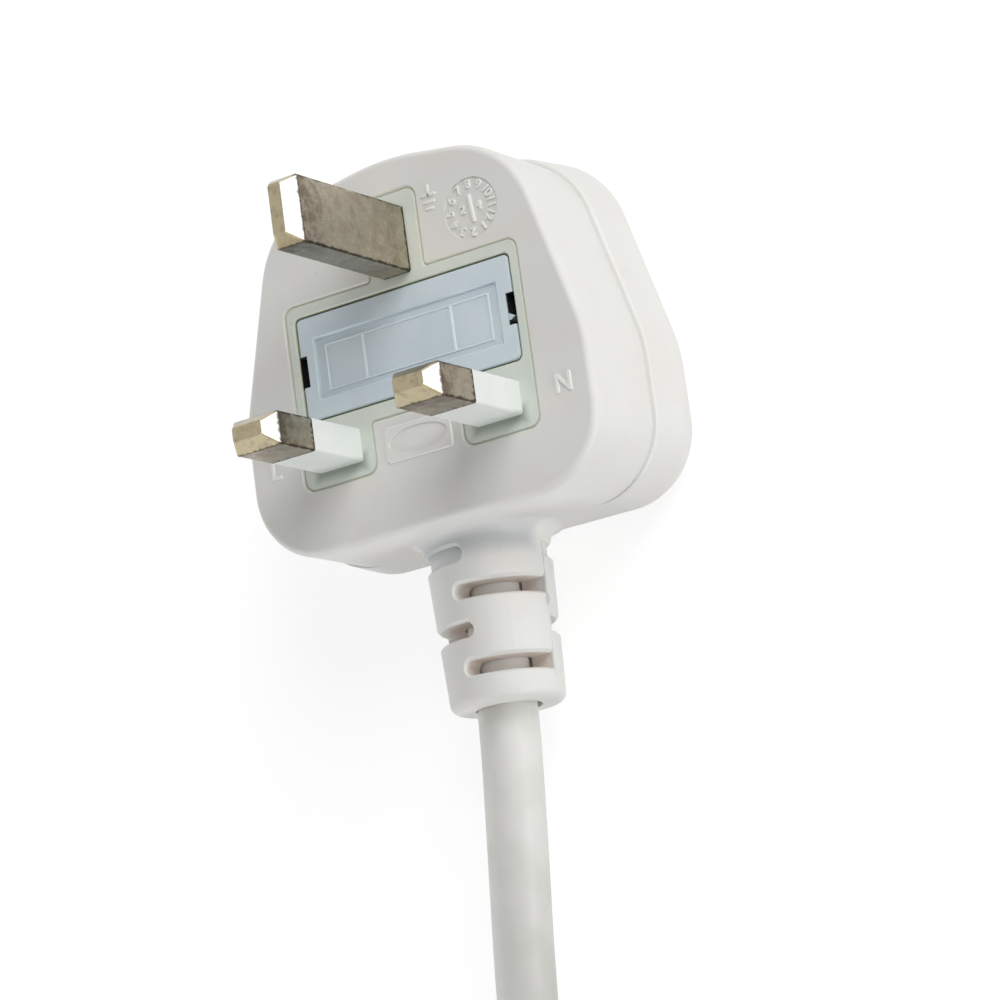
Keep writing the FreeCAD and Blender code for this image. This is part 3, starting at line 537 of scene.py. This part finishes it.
@dataclass(frozen=True)
class Blade(Finish):
    """The worn plated metal of one pin.

    Attributes:
        centre: Middle of the pin's box.
        half: Half its size.
        shank: Height at which the tip's chamfers begin.
        foot: Height at which the metal comes out of the plastic.
        worn_share: How much of the metal between them wears darker.
        colour: The plating's colour.
        stain: Colour of its mottled tarnish.
        edge: Colour along its edges.
        dark: Colour that the sides wear to near the tip.
        end: Colour of the tip's end and chamfers.
        painted_highlight: Painted highlight, near white, on the chamfer towards +X.
        edge_width: How wide the dark along the edges is.
        tip_line: How much wider the dark line where the chamfers begin gets.
        foot_line: How much wider the one at the foot gets.
        least_line: Least width of both.
        roughness: How matt it is.
    """

    centre: Point
    half: Point
    shank: float
    foot: float
    worn_share: float
    colour: Colour = tone(188, 179, 163)
    stain: Colour = tone(166, 154, 134)
    edge: Colour = tone(58, 42, 28)
    dark: Colour = tone(106, 94, 78)
    end: Colour = tone(167, 157, 130)
    painted_highlight: Colour = tone(253, 251, 246)
    edge_width: float = 0.42 * MM
    tip_line: float = 0.3 * MM
    foot_line: float = 0.8 * MM
    least_line: float = 0.12 * MM
    roughness: float = 0.25

    def wire(self, graph: Graph, place: Socket) -> None:
        """Wires the mottled plating, darker towards the tip, then the tip and the dark edges."""
        height = graph.axes(place)["Z"]
        streaks = graph.effect(EFFECTS.streaks, Vector=place, Stretch=Stretch.ACROSS_PIN.value)
        stain, fine = streaks["Stain"], streaks["Height"]
        colour = graph.blend(graph.step(stain, 0.38, 0.68), self.colour, self.stain)
        worn = (self.shank - self.foot) * self.worn_share
        near_tip = graph.step(height, self.shank - worn, self.shank)
        mottled = graph.maths("ADD", graph.times(graph.step(stain, 0.4, 0.6), 0.4), 0.5)
        colour = graph.blend(graph.times(near_tip, mottled), colour, self.dark)
        colour = graph.blend(graph.times(graph.step(fine, 0.5, 0.85), 0.14), colour, self.edge)

        normal = graph.add("ShaderNodeNewGeometry").outputs["True Normal"]
        facing = graph.axes(normal)["X"]
        tip = graph.step(height, self.shank - 0.02 * MM, self.shank + 0.02 * MM)
        mottled = graph.times(graph.step(stain, 0.45, 0.7), 0.5)
        colour = graph.blend(tip, colour, graph.blend(mottled, self.end, self.dark))
        # Painted highlight: the chamfer facing +X is painted near white.
        sloped = graph.times(graph.step(facing, 0.7, 0.75), graph.fall(facing, 0.96, 0.98))
        colour = graph.blend(graph.times(tip, sloped), colour, self.painted_highlight)

        box = {"Vector": place, "Centre": self.centre, "Half Size": self.half, "Width": self.edge_width}
        edges = graph.effect(EFFECTS.edges, **box)["Mask"]
        lines = self._line(graph, place, height, self.shank, self.tip_line)
        lines = graph.maths("MAXIMUM", lines, self._line(graph, place, height, self.foot, self.foot_line))
        mask = graph.maths("MAXIMUM", edges, graph.times(lines, 0.9))
        colour = graph.blend(graph.times(mask, 0.9), colour, self.edge)
        rough = graph.spread(stain, self.roughness, below=0.05, above=0.13)
        normal = graph.bump(fine, 0.2, 0.006 * MM)
        graph.surface(Base_Color=colour, Metallic=1.0, Roughness=rough, Normal=normal)

    def _line(self, graph: Graph, place: Socket, height: Socket, level: float, reach: float) -> Socket:
        """Masks a dark line at a level, wider by up to the reach in places."""
        uneven = graph.noise(place, 1500.0, detail=3.0, rough=0.6)
        away = graph.maths("ABSOLUTE", graph.maths("SUBTRACT", height, level))
        wide = graph.times(graph.step(uneven, 0.4, 0.75), reach)
        limit = graph.maths("ADD", wide, self.least_line)
        return graph.fall(away, graph.times(limit, 0.3), limit)


@dataclass(frozen=True)
class Metal(Finish):
    """A plain clean metal, finely lined along X.

    Attributes:
        colour: The metal's colour.
        stain: Colour of its faint tarnish.
        roughness: How matt it is.
    """

    colour: Colour
    stain: Colour
    roughness: float = 0.3

    def wire(self, graph: Graph, place: Socket) -> None:
        """Wires the tarnish and the fine lines."""
        streaks = graph.effect(EFFECTS.streaks, Vector=place, Stretch=Stretch.ALONG_X.value)
        mottle = graph.step(streaks["Stain"], 0.4, 0.8)
        colour = graph.blend(mottle, self.colour, self.stain)
        rough = graph.spread(streaks["Height"], self.roughness, below=0.06, above=0.1)
        normal = graph.bump(streaks["Height"], 0.3, 0.01 * MM)
        graph.surface(Base_Color=colour, Metallic=1.0, Roughness=rough, Normal=normal)


def choose(piece: Piece | None = None) -> None:
    """Leaves object mode with nothing chosen, or with one piece."""
    if bpy.context.object and bpy.context.object.mode != "OBJECT":
        bpy.ops.object.mode_set(mode="OBJECT")
    bpy.ops.object.select_all(action="DESELECT")
    if piece:
        piece.select_set(True)
        bpy.context.view_layer.objects.active = piece


def put(name: str, data: bpy.types.ID) -> Piece:
    """Adds an object with this data to the scene."""
    piece = bpy.data.objects.new(name, data)
    bpy.context.scene.collection.objects.link(piece)
    return piece


def settle(piece: Piece) -> None:
    """Puts a piece's place, turn and size into its mesh."""
    choose(piece)
    bpy.ops.object.transform_apply(location=True, rotation=True, scale=True)


def round_edges(piece: Piece, width: float) -> None:
    """Bevels a piece's sharp edges and smooths its shading.

    Args:
        piece: The piece.
        width: The bevel's width.
    """
    bevel = piece.modifiers.new("bevel", "BEVEL")
    bevel.width = width
    bevel.segments = BEVEL_FACES
    bevel.limit_method = "ANGLE"
    choose(piece)
    bpy.ops.object.modifier_apply(modifier=bevel.name)
    bpy.ops.object.shade_smooth_by_angle(angle=SMOOTH_ANGLE)


def wear(piece: Piece, material: Material, body: str) -> None:
    """Gives a new piece its material and the body that it rides on, and logs them."""
    piece.data.materials.clear()
    piece.data.materials.append(material)
    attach(piece, body)
    LOG.info("%s: %s on %s", piece.name, material.name, body)


def dress(finish: Finish, *nodes: str) -> Material:
    """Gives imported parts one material.

    Args:
        finish: What it looks like.
        *nodes: The parts' names.

    Returns:
        The material.
    """
    material = finish.material()
    for node in nodes:
        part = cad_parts[node]
        if part.data.materials:
            part.data.materials[0] = material
        else:
            part.data.materials.append(material)
        LOG.info("%s: %s", node, material.name)
    return material


def raised_bar(name: str, start: Sequence[float], end: Sequence[float], width: float, base: float,
               height: float) -> Piece:
    """Makes a raised line with rounded top edges.

    Args:
        name: The piece's name.
        start: One end, as x and y.
        end: The other end.
        width: The line's width.
        base: Height of the surface that it stands on.
        height: How far it stands out.

    Returns:
        The piece.
    """
    along = Vector(end) - Vector(start)
    middle = (Vector(start) + Vector(end)) / 2
    choose()
    bpy.ops.mesh.primitive_cube_add(size=1, location=(middle.x, middle.y, base),
                                    rotation=(0, 0, math.atan2(along.y, along.x)),
                                    scale=(along.length + width, width, 2 * height))
    bar = bpy.context.object
    bar.name = name
    settle(bar)
    round_edges(bar, min(width, height) * ROUNDING)
    return bar


def raised_text(name: str, text: str, size: float, place: Point, turn: float, height: float,
                weight: float) -> Piece:
    """Makes raised lettering as a mesh.

    Args:
        name: The piece's name.
        text: The letter or number.
        size: The letters' size.
        place: Middle of the text, on the surface.
        turn: Turn about Z in radians.
        height: How far it stands out.
        weight: How much the strokes are thickened to each side.

    Returns:
        The piece.
    """
    choose()
    bpy.ops.object.text_add(location=place, rotation=(0, 0, turn))
    letters = bpy.context.object
    letters.name = name
    data = letters.data
    data.body = text
    data.size = size
    data.align_x = "CENTER"
    data.align_y = "CENTER"
    data.extrude = height
    data.bevel_depth = height * TEXT_BEVEL
    data.bevel_resolution = 1
    data.offset = weight - height * TEXT_BEVEL
    data.resolution_u = 6
    bpy.ops.object.convert(target="MESH")
    settle(letters)
    bpy.ops.object.shade_smooth_by_angle(angle=SMOOTH_ANGLE)
    return letters


@dataclass(frozen=True)
class Softbox:
    """A soft lamp that faces the plug.

    Attributes:
        name: The lamp's name.
        azimuth: Its direction from the plug in degrees, from +X towards +Y.
        elevation: Its angle above the floor in degrees.
        distance: How far away it is.
        width: Its width.
        height: Its height.
        level: How brightly it lights a white card held up to it, where 1 shows white.
    """

    name: str
    azimuth: float
    elevation: float
    distance: float
    width: float
    height: float
    level: float

    def build(self) -> None:
        """Adds the lamp."""
        data = bpy.data.lights.new(self.name, "AREA")
        data.shape = "RECTANGLE"
        data.size = self.width
        data.size_y = self.height
        data.energy = self.level * math.pi ** 2 * self.distance ** 2
        lamp = put(self.name, data)
        azimuth, elevation = math.radians(self.azimuth), math.radians(self.elevation)
        away = Vector((math.cos(azimuth) * math.cos(elevation), math.sin(azimuth) * math.cos(elevation),
                       math.sin(elevation)))
        lamp.location = away * self.distance
        lamp.rotation_euler = away.to_track_quat("Z", "Y").to_euler()
        lamp.visible_camera = False


@dataclass
class Studio:
    """Floor, light and camera."""

    camera_place: Point = (0.235676, -0.108206, 0.382969)
    camera_aim: Point = (0.009762, -0.010934, 0.021)
    camera_up: Point = (0.23293722, 0.96576903, 0.11415089)
    focal_length: float = 140.03
    sensor: float = 36.0
    floor_size: float = 8.0
    floor_tone: float = 0.85
    shadow_tone: float = 0.42
    floor_glow: float = 0.74
    shadow_reach: float = 0.25
    white_reach: float = 0.55
    ambient: float = 0.25
    lamps: tuple[Softbox, ...] = (
        Softbox("key", 46, 42, 0.5, 0.3, 0.3, 0.5),
        Softbox("right_box", -34, 11, 0.6, 0.6, 0.22, 0.5),
        Softbox("near_box", -140, 12, 0.6, 0.6, 0.24, 0.36),
        Softbox("far_box", 98, 13, 0.6, 0.7, 0.24, 0.2),
        Softbox("left_box", 178, 13, 0.6, 0.6, 0.24, 0.1),
    )

    def build(self) -> None:
        """Makes the floor, the world, the lamps and the camera."""
        self._floor()
        self._world()
        for lamp in self.lamps:
            lamp.build()
        self._camera()

    def _floor(self) -> None:
        """A pale floor that shows white to the camera and keeps the object's shadow."""
        choose()
        bpy.ops.mesh.primitive_plane_add(size=self.floor_size)
        floor = bpy.context.object
        floor.name = "floor"
        material, graph = Graph.of_material("pale_floor")
        lit = graph.add("ShaderNodeBsdfDiffuse", {"Color": opaque((self.floor_tone,) * 3)})
        half_lit = graph.add("ShaderNodeBsdfDiffuse", {"Color": opaque((self.shadow_tone,) * 3)})
        away = graph.vector_maths("LENGTH", graph.place())
        far = graph.times(graph.step(away, self.shadow_reach, self.white_reach), 1 - self.floor_glow)
        glow = graph.add("ShaderNodeEmission", {"Color": opaque((1, 1, 1)),
                                                "Strength": graph.maths("ADD", far, self.floor_glow)})
        seen = graph.add("ShaderNodeAddShader", {0: half_lit.outputs[0], 1: glow.outputs[0]})
        mixed = graph.mix_shaders(self._seen_directly(graph), lit, seen)
        graph.add("ShaderNodeOutputMaterial", {"Surface": mixed})
        floor.data.materials.append(material)

    @staticmethod
    def _seen_directly(graph: Graph) -> Socket:
        """1 for rays from the camera, off gloss or through glass, and 0 for the rest."""
        ray = graph.add("ShaderNodeLightPath").outputs
        direct = graph.maths("MAXIMUM", ray["Is Camera Ray"], ray["Is Glossy Ray"])
        return graph.maths("MAXIMUM", direct, ray["Is Transmission Ray"])

    def _world(self) -> None:
        """Soft light from all round, white where it is seen."""
        world = bpy.data.worlds.new("studio")
        bpy.context.scene.world = world
        world.use_nodes = True
        graph = Graph(world.node_tree)
        soft = graph.add("ShaderNodeBackground", {"Color": opaque((1, 1, 1)), "Strength": self.ambient})
        white = graph.add("ShaderNodeBackground", {"Color": opaque((1, 1, 1)), "Strength": 1.0})
        mixed = graph.mix_shaders(self._seen_directly(graph), soft, white)
        graph.add("ShaderNodeOutputWorld", {"Surface": mixed})

    def _camera(self) -> None:
        """The photograph's own view."""
        data = bpy.data.cameras.new("camera")
        data.lens = self.focal_length
        data.sensor_width = self.sensor
        data.clip_start = 0.01
        data.clip_end = 20.0
        camera = put("camera", data)
        backward = (Vector(self.camera_place) - Vector(self.camera_aim)).normalized()
        right = Vector(self.camera_up).cross(backward).normalized()
        camera.matrix_world = Matrix((right, backward.cross(right), backward)).transposed().to_4x4()
        camera.location = self.camera_place
        bpy.context.scene.camera = camera
        bpy.context.scene.view_settings.view_transform = "Standard"


@dataclass
class FaceMarks:
    """Raised marks on the plug's face: terminal letters, the earth symbol and the date dial."""

    letter_size: float = 3.1 * MM
    letter_weight: float = 0.05 * MM
    mark_height: float = 0.16 * MM
    live_letter: Point = (-20.3 * MM, -0.3 * MM, FACE)
    neutral_letter: Point = (20.2 * MM, 0.1 * MM, FACE)
    line_width: float = 0.32 * MM
    symbol_x: float = 5.78 * MM
    symbol_top: float = 27.46 * MM
    symbol_bars: tuple[Pair, ...] = (mm(26.4, 0.86), mm(25.55, 0.66), mm(24.75, 0.42))
    dial_centre: Pair = mm(11.2, 23.3)
    dial_floor: float = 20.85 * MM
    number_ring: float = 2.82 * MM
    number_size: float = 1.42 * MM
    number_weight: float = 0.03 * MM
    number_count: int = 12
    first_number: int = 2
    pointer: tuple[Pair, ...] = (mm(11.15, 24.7), mm(11.44, 21.8))
    pointer_width: float = 0.42 * MM
    pointer_height: float = 0.28 * MM
    inner_numbers: tuple[tuple[str, float], ...] = (("2", -1.1 * MM), ("4", 1.15 * MM))

    def build(self, material: Material) -> None:
        """Makes every mark and gives it this material, smoother than the face round it."""
        for mark in self._letters() + self._earth_symbol() + self._dial():
            wear(mark, material, PLUG)

    def _letters(self) -> list[Piece]:
        """The letters beside the live and neutral pins."""
        return [raised_text(name, letter, self.letter_size, place, 0, self.mark_height, self.letter_weight)
                for name, letter, place in (("mark_live", "L", self.live_letter),
                                            ("mark_neutral", "N", self.neutral_letter))]

    def _earth_symbol(self) -> list[Piece]:
        """A stem over three bars, each shorter than the last."""
        x, look = self.symbol_x, (self.line_width, FACE, self.mark_height)
        stem = raised_bar("mark_earth_stem", (x, self.symbol_top), (x, self.symbol_bars[0][0]), *look)
        return [stem] + [raised_bar(f"mark_earth_bar_{number}", (x - reach, y), (x + reach, y), *look)
                         for number, (y, reach) in enumerate(self.symbol_bars)]

    def _dial(self) -> list[Piece]:
        """The numbers round the date dial, and its pointer."""
        marks = []
        for number in range(self.number_count):
            turn = -math.tau * (number + self.first_number) / self.number_count
            x = self.dial_centre[0] + self.number_ring * math.cos(turn)
            y = self.dial_centre[1] + self.number_ring * math.sin(turn)
            marks.append(raised_text(f"dial_number_{number + 1}", str(number + 1), self.number_size,
                                     (x, y, self.dial_floor), turn - math.pi / 2, self.mark_height,
                                     self.number_weight))
        for number, (text, aside) in enumerate(self.inner_numbers):
            place = (self.dial_centre[0] + aside, self.dial_centre[1], self.dial_floor)
            marks.append(raised_text(f"dial_inner_{number}", text, self.number_size, place, 0,
                                     self.mark_height, self.number_weight))
        marks.append(raised_bar("dial_pointer", *self.pointer, self.pointer_width, self.dial_floor,
                                self.pointer_height))
        return marks


@dataclass
class PartingLine:
    """The thin flash down the guard's side where the mould's halves met, with a lump beside a slot."""

    start_y: float = -13.9 * MM
    end_y: float = -30.9 * MM
    start_radius: float = 7.39 * MM
    end_radius: float = 6.75 * MM
    width: float = 0.16 * MM
    proud: float = 0.1 * MM
    sunk: float = 0.35 * MM
    waver: float = 0.03 * MM
    wave_length: float = 2.7 * MM
    lump_y: float = -20.9 * MM
    lump_reach: float = 0.8 * MM
    lump_height: float = 0.45 * MM
    lump_spread: float = 0.7
    rounding: float = 0.3
    cuts: int = 60

    def build(self, material: Material) -> None:
        """Makes the line and gives it the body's material."""
        choose()
        bpy.ops.mesh.primitive_cube_add(size=2)
        line = bpy.context.object
        line.name = "guard_parting_line"
        bpy.ops.object.mode_set(mode="EDIT")
        mesh = bmesh.from_edit_mesh(line.data)
        for edge in mesh.edges:
            first, second = edge.verts
            edge.select_set(abs(first.co.y - second.co.y) > 1)
        bmesh.update_edit_mesh(line.data)
        bpy.ops.mesh.subdivide(number_cuts=self.cuts)
        bpy.ops.object.mode_set(mode="OBJECT")
        for vertex in line.data.vertices:
            vertex.co = self._place(vertex.co)
        settle(line)
        round_edges(line, self.width * self.rounding)
        wear(line, material, PLUG)

    def _place(self, corner: Vector) -> Point:
        """Where a corner of the plain bar, from -1 to 1 along each axis, goes on the guard.

        Args:
            corner: The corner.

        Returns:
            Its place.
        """
        share = (1 - corner.y) / 2
        y = self.start_y + (self.end_y - self.start_y) * share
        surface = self.start_radius + (self.end_radius - self.start_radius) * share
        lump = max(0.0, 1 - ((y - self.lump_y) / self.lump_reach) ** 2)
        uneven = self.waver * math.sin(math.tau * y / self.wave_length)
        outer = surface + self.proud + uneven + lump * self.lump_height
        half = self.width / 2 + lump * self.lump_height * self.lump_spread
        return (outer if corner.x > 0 else surface - self.sunk, y, CORD_Z + corner.z * half)


@dataclass
class SoftBody:
    """The outer moulding with its guard, and what is marked on it.

    Attributes:
        finish: Its finish: grime round the carrier, and painted shade at the guard's root and inside it.
        mark_finish_and_highlight: That of the marks on its face, smoother, and lighter as a painted
            highlight.
    """

    finish: Plastic = Plastic(
        "white_pvc", tone(224, 225, 222), tone(224, 222, 218), 0.46, 2000.0, 0.022 * MM, specks=0.035,
        grooves=(
            carrier_grime(mm(0, 7.3, 20.8), mm(16.9, 11.6, 0.2)),
            carrier_grime(mm(0, 23.5, 20.8), mm(4.3, 5.2, 0.2)),
            # Painted shade at the guard's root, under the edge of the face.
            Groove(mm(1.0, -13.4, 15.5), mm(8.5, 2.4, 5.5), 20.0 * MM, 2.5 * MM,
                   tone(150, 156, 165), 0.45, 2.2 * MM),
        ),
        # Painted warm shade inside the guard, for the shadow in its slots.
        hollow_shade=HollowShade(0, CORD_Z, 5.6 * MM, 1.2 * MM, -32.0 * MM, -12.6 * MM, tone(222, 208, 197), 0.7))
    # The marks are the body's plastic, smoother and painted lighter as a highlight.
    mark_finish_and_highlight: Plastic = Plastic("white_pvc_marks_highlight", tone(238, 238, 235), tone(233, 233, 229), 0.36)

    def build(self) -> None:
        """Dresses the moulding and adds its marks."""
        material = dress(self.finish, "body_moulding")
        FaceMarks().build(self.mark_finish_and_highlight.material())
        PartingLine().build(material)


@dataclass
class PinSet:
    """The stiff carrier, the three pins and the two sleeves.

    Attributes:
        carrier: The carrier's finish, with grime at its edge and shade in the notches and at the sleeves.
        sleeve: That of the sleeves, with painted shade low on their lower sides.
        pins: Each pin's name, then its finish's centre, half, shank, foot and worn share.
    """

    carrier: Plastic = Plastic(
        "pale_green_plastic", tone(217, 222, 213), tone(211, 219, 211), 0.42, 2600.0, specks=0.03,
        grooves=(
            Groove(mm(0, 12.2, 20.5), mm(17.0, 17.0, 0.5), 20.88 * MM, 0.2 * MM,
                   tone(192, 195, 162), 0.75),
            notch_shade(-1), notch_shade(1), foot_shade(-1), foot_shade(1),
        ))
    sleeve: Plastic = Plastic("sleeve_white", tone(229, 231, 228), tone(223, 228, 224), 0.36, 2600.0,
                              0.003 * MM, grooves=(sleeve_shade(-1), sleeve_shade(1)))
    pins: tuple[tuple[str, Point, Point, float, float, float], ...] = (
        ("earth_pin", mm(0, 22.23, 32.2), mm(2.0, 4.0, 11.2), 41.45 * MM, CARRIER_FACE, 0.38),
        ("live_pin", (-PIN_X, 0, 29.8 * MM), mm(3.175, 2.0, 8.9), 36.7 * MM, 30.4 * MM, 0.8),
        ("neutral_pin", (PIN_X, 0, 29.8 * MM), mm(3.175, 2.0, 8.9), 36.7 * MM, 30.4 * MM, 0.8),
    )

    def build(self) -> None:
        """Dresses the carrier, the pins and the sleeves."""
        dress(self.carrier, "pin_carrier")
        dress(self.sleeve, "live_sleeve", "neutral_sleeve")
        for node, *shape in self.pins:
            dress(Blade(f"plated_{node}", *shape), node)


@dataclass
class FuseDrawer:
    """The fuse carrier with its raised symbol."""

    finish: Plastic = Plastic(
        "pale_blue_plastic", tone(211, 223, 229), tone(206, 219, 227), 0.4, 2600.0, specks=0.02,
        grooves=(notch_shade(-1), notch_shade(1, high=9.2 * MM), notch_shade(1, low=10.0 * MM)))
    # The raised lines are the drawer's plastic, smoother and painted lighter as a highlight.
    line_finish_and_highlight: Plastic = Plastic("pale_blue_lines_highlight", tone(228, 237, 243), tone(223, 233, 240), 0.3)
    recess_floor: float = 20.35 * MM
    symbol_left: float = -11.45 * MM
    symbol_right: float = 11.45 * MM
    symbol_low: float = 7.7 * MM
    symbol_high: float = 12.95 * MM
    divider: float = 6.25 * MM
    line_width: float = 0.34 * MM
    line_height: float = 0.15 * MM

    def build(self) -> None:
        """Dresses the drawer and adds the symbol."""
        dress(self.finish, "fuse_carrier")
        wear(self._symbol(), self.line_finish_and_highlight.material(), DRAWER)

    def _symbol(self) -> Piece:
        """A long box with a part marked off at each end, in thin raised lines.

        Returns:
            The piece.
        """
        choose()
        bpy.ops.mesh.primitive_grid_add(x_subdivisions=3, y_subdivisions=1, size=2,
                                        location=(0, 0, self.recess_floor - self.line_height))
        symbol = bpy.context.object
        symbol.name = "drawer_symbol"
        half = self.line_width / 2
        columns = (self.symbol_left - half, -self.divider, self.divider, self.symbol_right + half)
        rows = (self.symbol_low - half, self.symbol_high + half)
        for vertex in symbol.data.vertices:
            column = round((vertex.co.x + 1) / 2 * (len(columns) - 1))
            row = round((vertex.co.y + 1) / 2)
            vertex.co = (columns[column], rows[row], vertex.co.z)
        bpy.ops.object.mode_set(mode="EDIT")
        bpy.ops.mesh.select_all(action="SELECT")
        bpy.ops.mesh.inset(thickness=half, use_individual=True, use_even_offset=True)
        bpy.ops.mesh.delete(type="FACE")
        bpy.ops.mesh.select_all(action="SELECT")
        bpy.ops.mesh.extrude_region_move(TRANSFORM_OT_translate={"value": (0, 0, 2 * self.line_height)})
        bpy.ops.mesh.select_all(action="SELECT")
        bpy.ops.mesh.normals_make_consistent(inside=False)
        bpy.ops.object.mode_set(mode="OBJECT")
        settle(symbol)
        round_edges(symbol, self.line_height * ROUNDING)
        return symbol


@dataclass
class PlainParts:
    """The fuse, the metal, the cover and the cores inside the plug, and the tie and ends of the cord.

    Attributes:
        looks: Each finish with the names of the parts that take it.
    """

    looks: tuple[tuple[Finish, tuple[str, ...]], ...] = (
        (Plastic("fuse_ceramic", tone(238, 234, 222), tone(228, 222, 208), 0.35, 1500.0), ("fuse_tube",)),
        (Metal("fuse_cap_metal", tone(214, 210, 202), tone(176, 168, 150)),
         ("fuse_cap_line", "fuse_cap_load")),
        (Metal("fuse_wire", tone(200, 198, 190), tone(170, 166, 156)), ("fuse_element",)),
        (Metal("strip_brass", tone(218, 184, 120), tone(176, 138, 84)),
         ("line_clip", "load_clip", "neutral_terminal", "earth_terminal")),
        (Metal("bare_copper", tone(214, 150, 110), tone(160, 96, 66), 0.35),
         ("live_conductor", "neutral_conductor", "earth_conductor")),
        (Plastic("cover_plastic", tone(206, 214, 207), tone(198, 206, 199)), ("inner_cover",)),
        (Plastic("core_brown", tone(120, 72, 44), tone(108, 64, 38), 0.36, 1800.0),
         ("brown_core", "end_core_brown")),
        (Plastic("core_blue", tone(44, 110, 186), tone(38, 98, 170), 0.36, 1800.0),
         ("blue_core", "end_core_blue")),
        (Plastic("core_earth", tone(196, 204, 40), tone(70, 150, 60), 0.36, 1800.0),
         ("earth_core", "end_core_earth")),
        (Plastic("tie_nylon", tone(238, 238, 234), tone(230, 230, 226), 0.4), ("coil_tie",)),
        (Metal("ferrule_tin", tone(210, 210, 206), tone(180, 180, 174)), ("end_ferrules",)),
    )

    def build(self) -> None:
        """Dresses every part."""
        for finish, nodes in self.looks:
            dress(finish, *nodes)


@dataclass
class MainsCord:
    """The round white cord: a short run down to the floor, then a neat coil of six turns and a bit.

    Its sheath is painted lighter inside the guard: painted light where the guard shades it.
    """

    radius: float = 3.55 * MM
    exit_y: float = -32.0 * MM
    length: float = 1.5
    coil_x: float = 18.2 * MM
    coil_y: float = -120.0 * MM
    middle_turn: float = 36.0 * MM
    pitch: float = 7.2 * MM
    join_angle: float = 158.0
    lead_in: float = 25.0 * MM
    points_per_turn: int = 24
    turns: float = 6.25
    step_share: float = 0.18
    creep: float = 0.03
    sheath: Plastic = Plastic(
        "cord_pvc", tone(226, 225, 221), tone(219, 219, 214), 0.42,
        # Painted light on the cord inside the guard, which the guard shades.
        grooves=(Groove((0, -22.0 * MM, CORD_Z), mm(4.5, 9.5, 4.5), 20.0 * MM, 0.1 * MM,
                        tone(252, 250, 246), 0.95, 0.4 * MM),))

    def route(self) -> list[Point]:
        """The points from inside the guard to where the cord reaches the floor.

        Returns:
            The points.
        """
        angle = math.radians(self.join_angle)
        outer = self.middle_turn + self.pitch / 2
        floor = (self.coil_x + outer * math.cos(angle) + self.lead_in * math.sin(angle),
                 self.coil_y + outer * math.sin(angle) - self.lead_in * math.cos(angle), self.radius)
        return [(0.0, -0.014, CORD_Z), (0.0, -0.031, CORD_Z), (-0.0017, -0.046, 0.0088),
                (-0.0052, -0.061, 0.0056), (-0.0066, -0.0705, 0.0043), floor]

    def lanes(self) -> list[Pair]:
        """Radius and height of each turn: in along the floor, out, in again, and last the top groove.

        Returns:
            The radii and heights.
        """
        outer, inner = self.middle_turn + self.pitch / 2, self.middle_turn - self.pitch / 2
        low, middle, high = self.radius, 3 * self.radius, 5 * self.radius
        groove = high + math.sqrt(4 * self.radius ** 2 - self.pitch ** 2 / 4)
        return [(outer, low), (inner, low), (inner, middle), (outer, middle), (outer, high), (inner, high),
                (self.middle_turn, groove)]

    def coil(self) -> list[Point]:
        """The coil's points, from one lane to the next by an easy step near the end of each turn.

        Returns:
            The points.
        """
        # The spline runs this share of its points' radius from the middle, halfway along each span.
        spread = 0.25 * (3 + math.cos(math.tau / self.points_per_turn))
        lanes = self.lanes()
        points = []
        for i in range(round(self.turns * self.points_per_turn) + 1):
            turn = i / self.points_per_turn
            ring, height = lanes[0]
            for number, (before, after) in enumerate(zip(lanes, lanes[1:]), start=1):
                begin = number - self.step_share - self.creep * (number - 1)
                share = min(max((turn - begin) / self.step_share, 0.0), 1.0)
                share = share * share * (3 - 2 * share)
                ring += (after[0] - before[0]) * share
                height += (after[1] - before[1]) * share
            angle = math.radians(self.join_angle) + math.tau * turn
            points.append((self.coil_x + ring / spread * math.cos(angle),
                           self.coil_y + ring / spread * math.sin(angle), height))
        return points

    def build(self) -> None:
        """Makes and dresses the cord."""
        flex = self._flex()
        wear(flex, self.sheath.material(), PLUG)
        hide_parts("cord_tube", "cord_coil")

    def _flex(self) -> Piece:
        """The cord as one smooth curve.

        Returns:
            The piece.
        """
        points = self.route() + self.coil()
        data = bpy.data.curves.new("mains_cord", "CURVE")
        data.dimensions = "3D"
        data.bevel_depth = self.radius
        data.bevel_resolution = 7
        data.resolution_u = 8
        data.use_fill_caps = True
        spline = data.splines.new("NURBS")
        spline.points.add(len(points) - 1)
        for point, place in zip(spline.points, points):
            point.co = (*place, 1.0)
        spline.order_u = 3
        spline.use_endpoint_u = True
        return put("mains_cord", data)


def main() -> None:
    """Builds the studio and every part of the plug in order."""
    logging.basicConfig(level=logging.INFO, format="%(name)s %(message)s")
    Studio().build()
    SoftBody().build()
    PinSet().build()
    FuseDrawer().build()
    PlainParts().build()
    MainsCord().build()


if __name__ == "__main__":
    main()
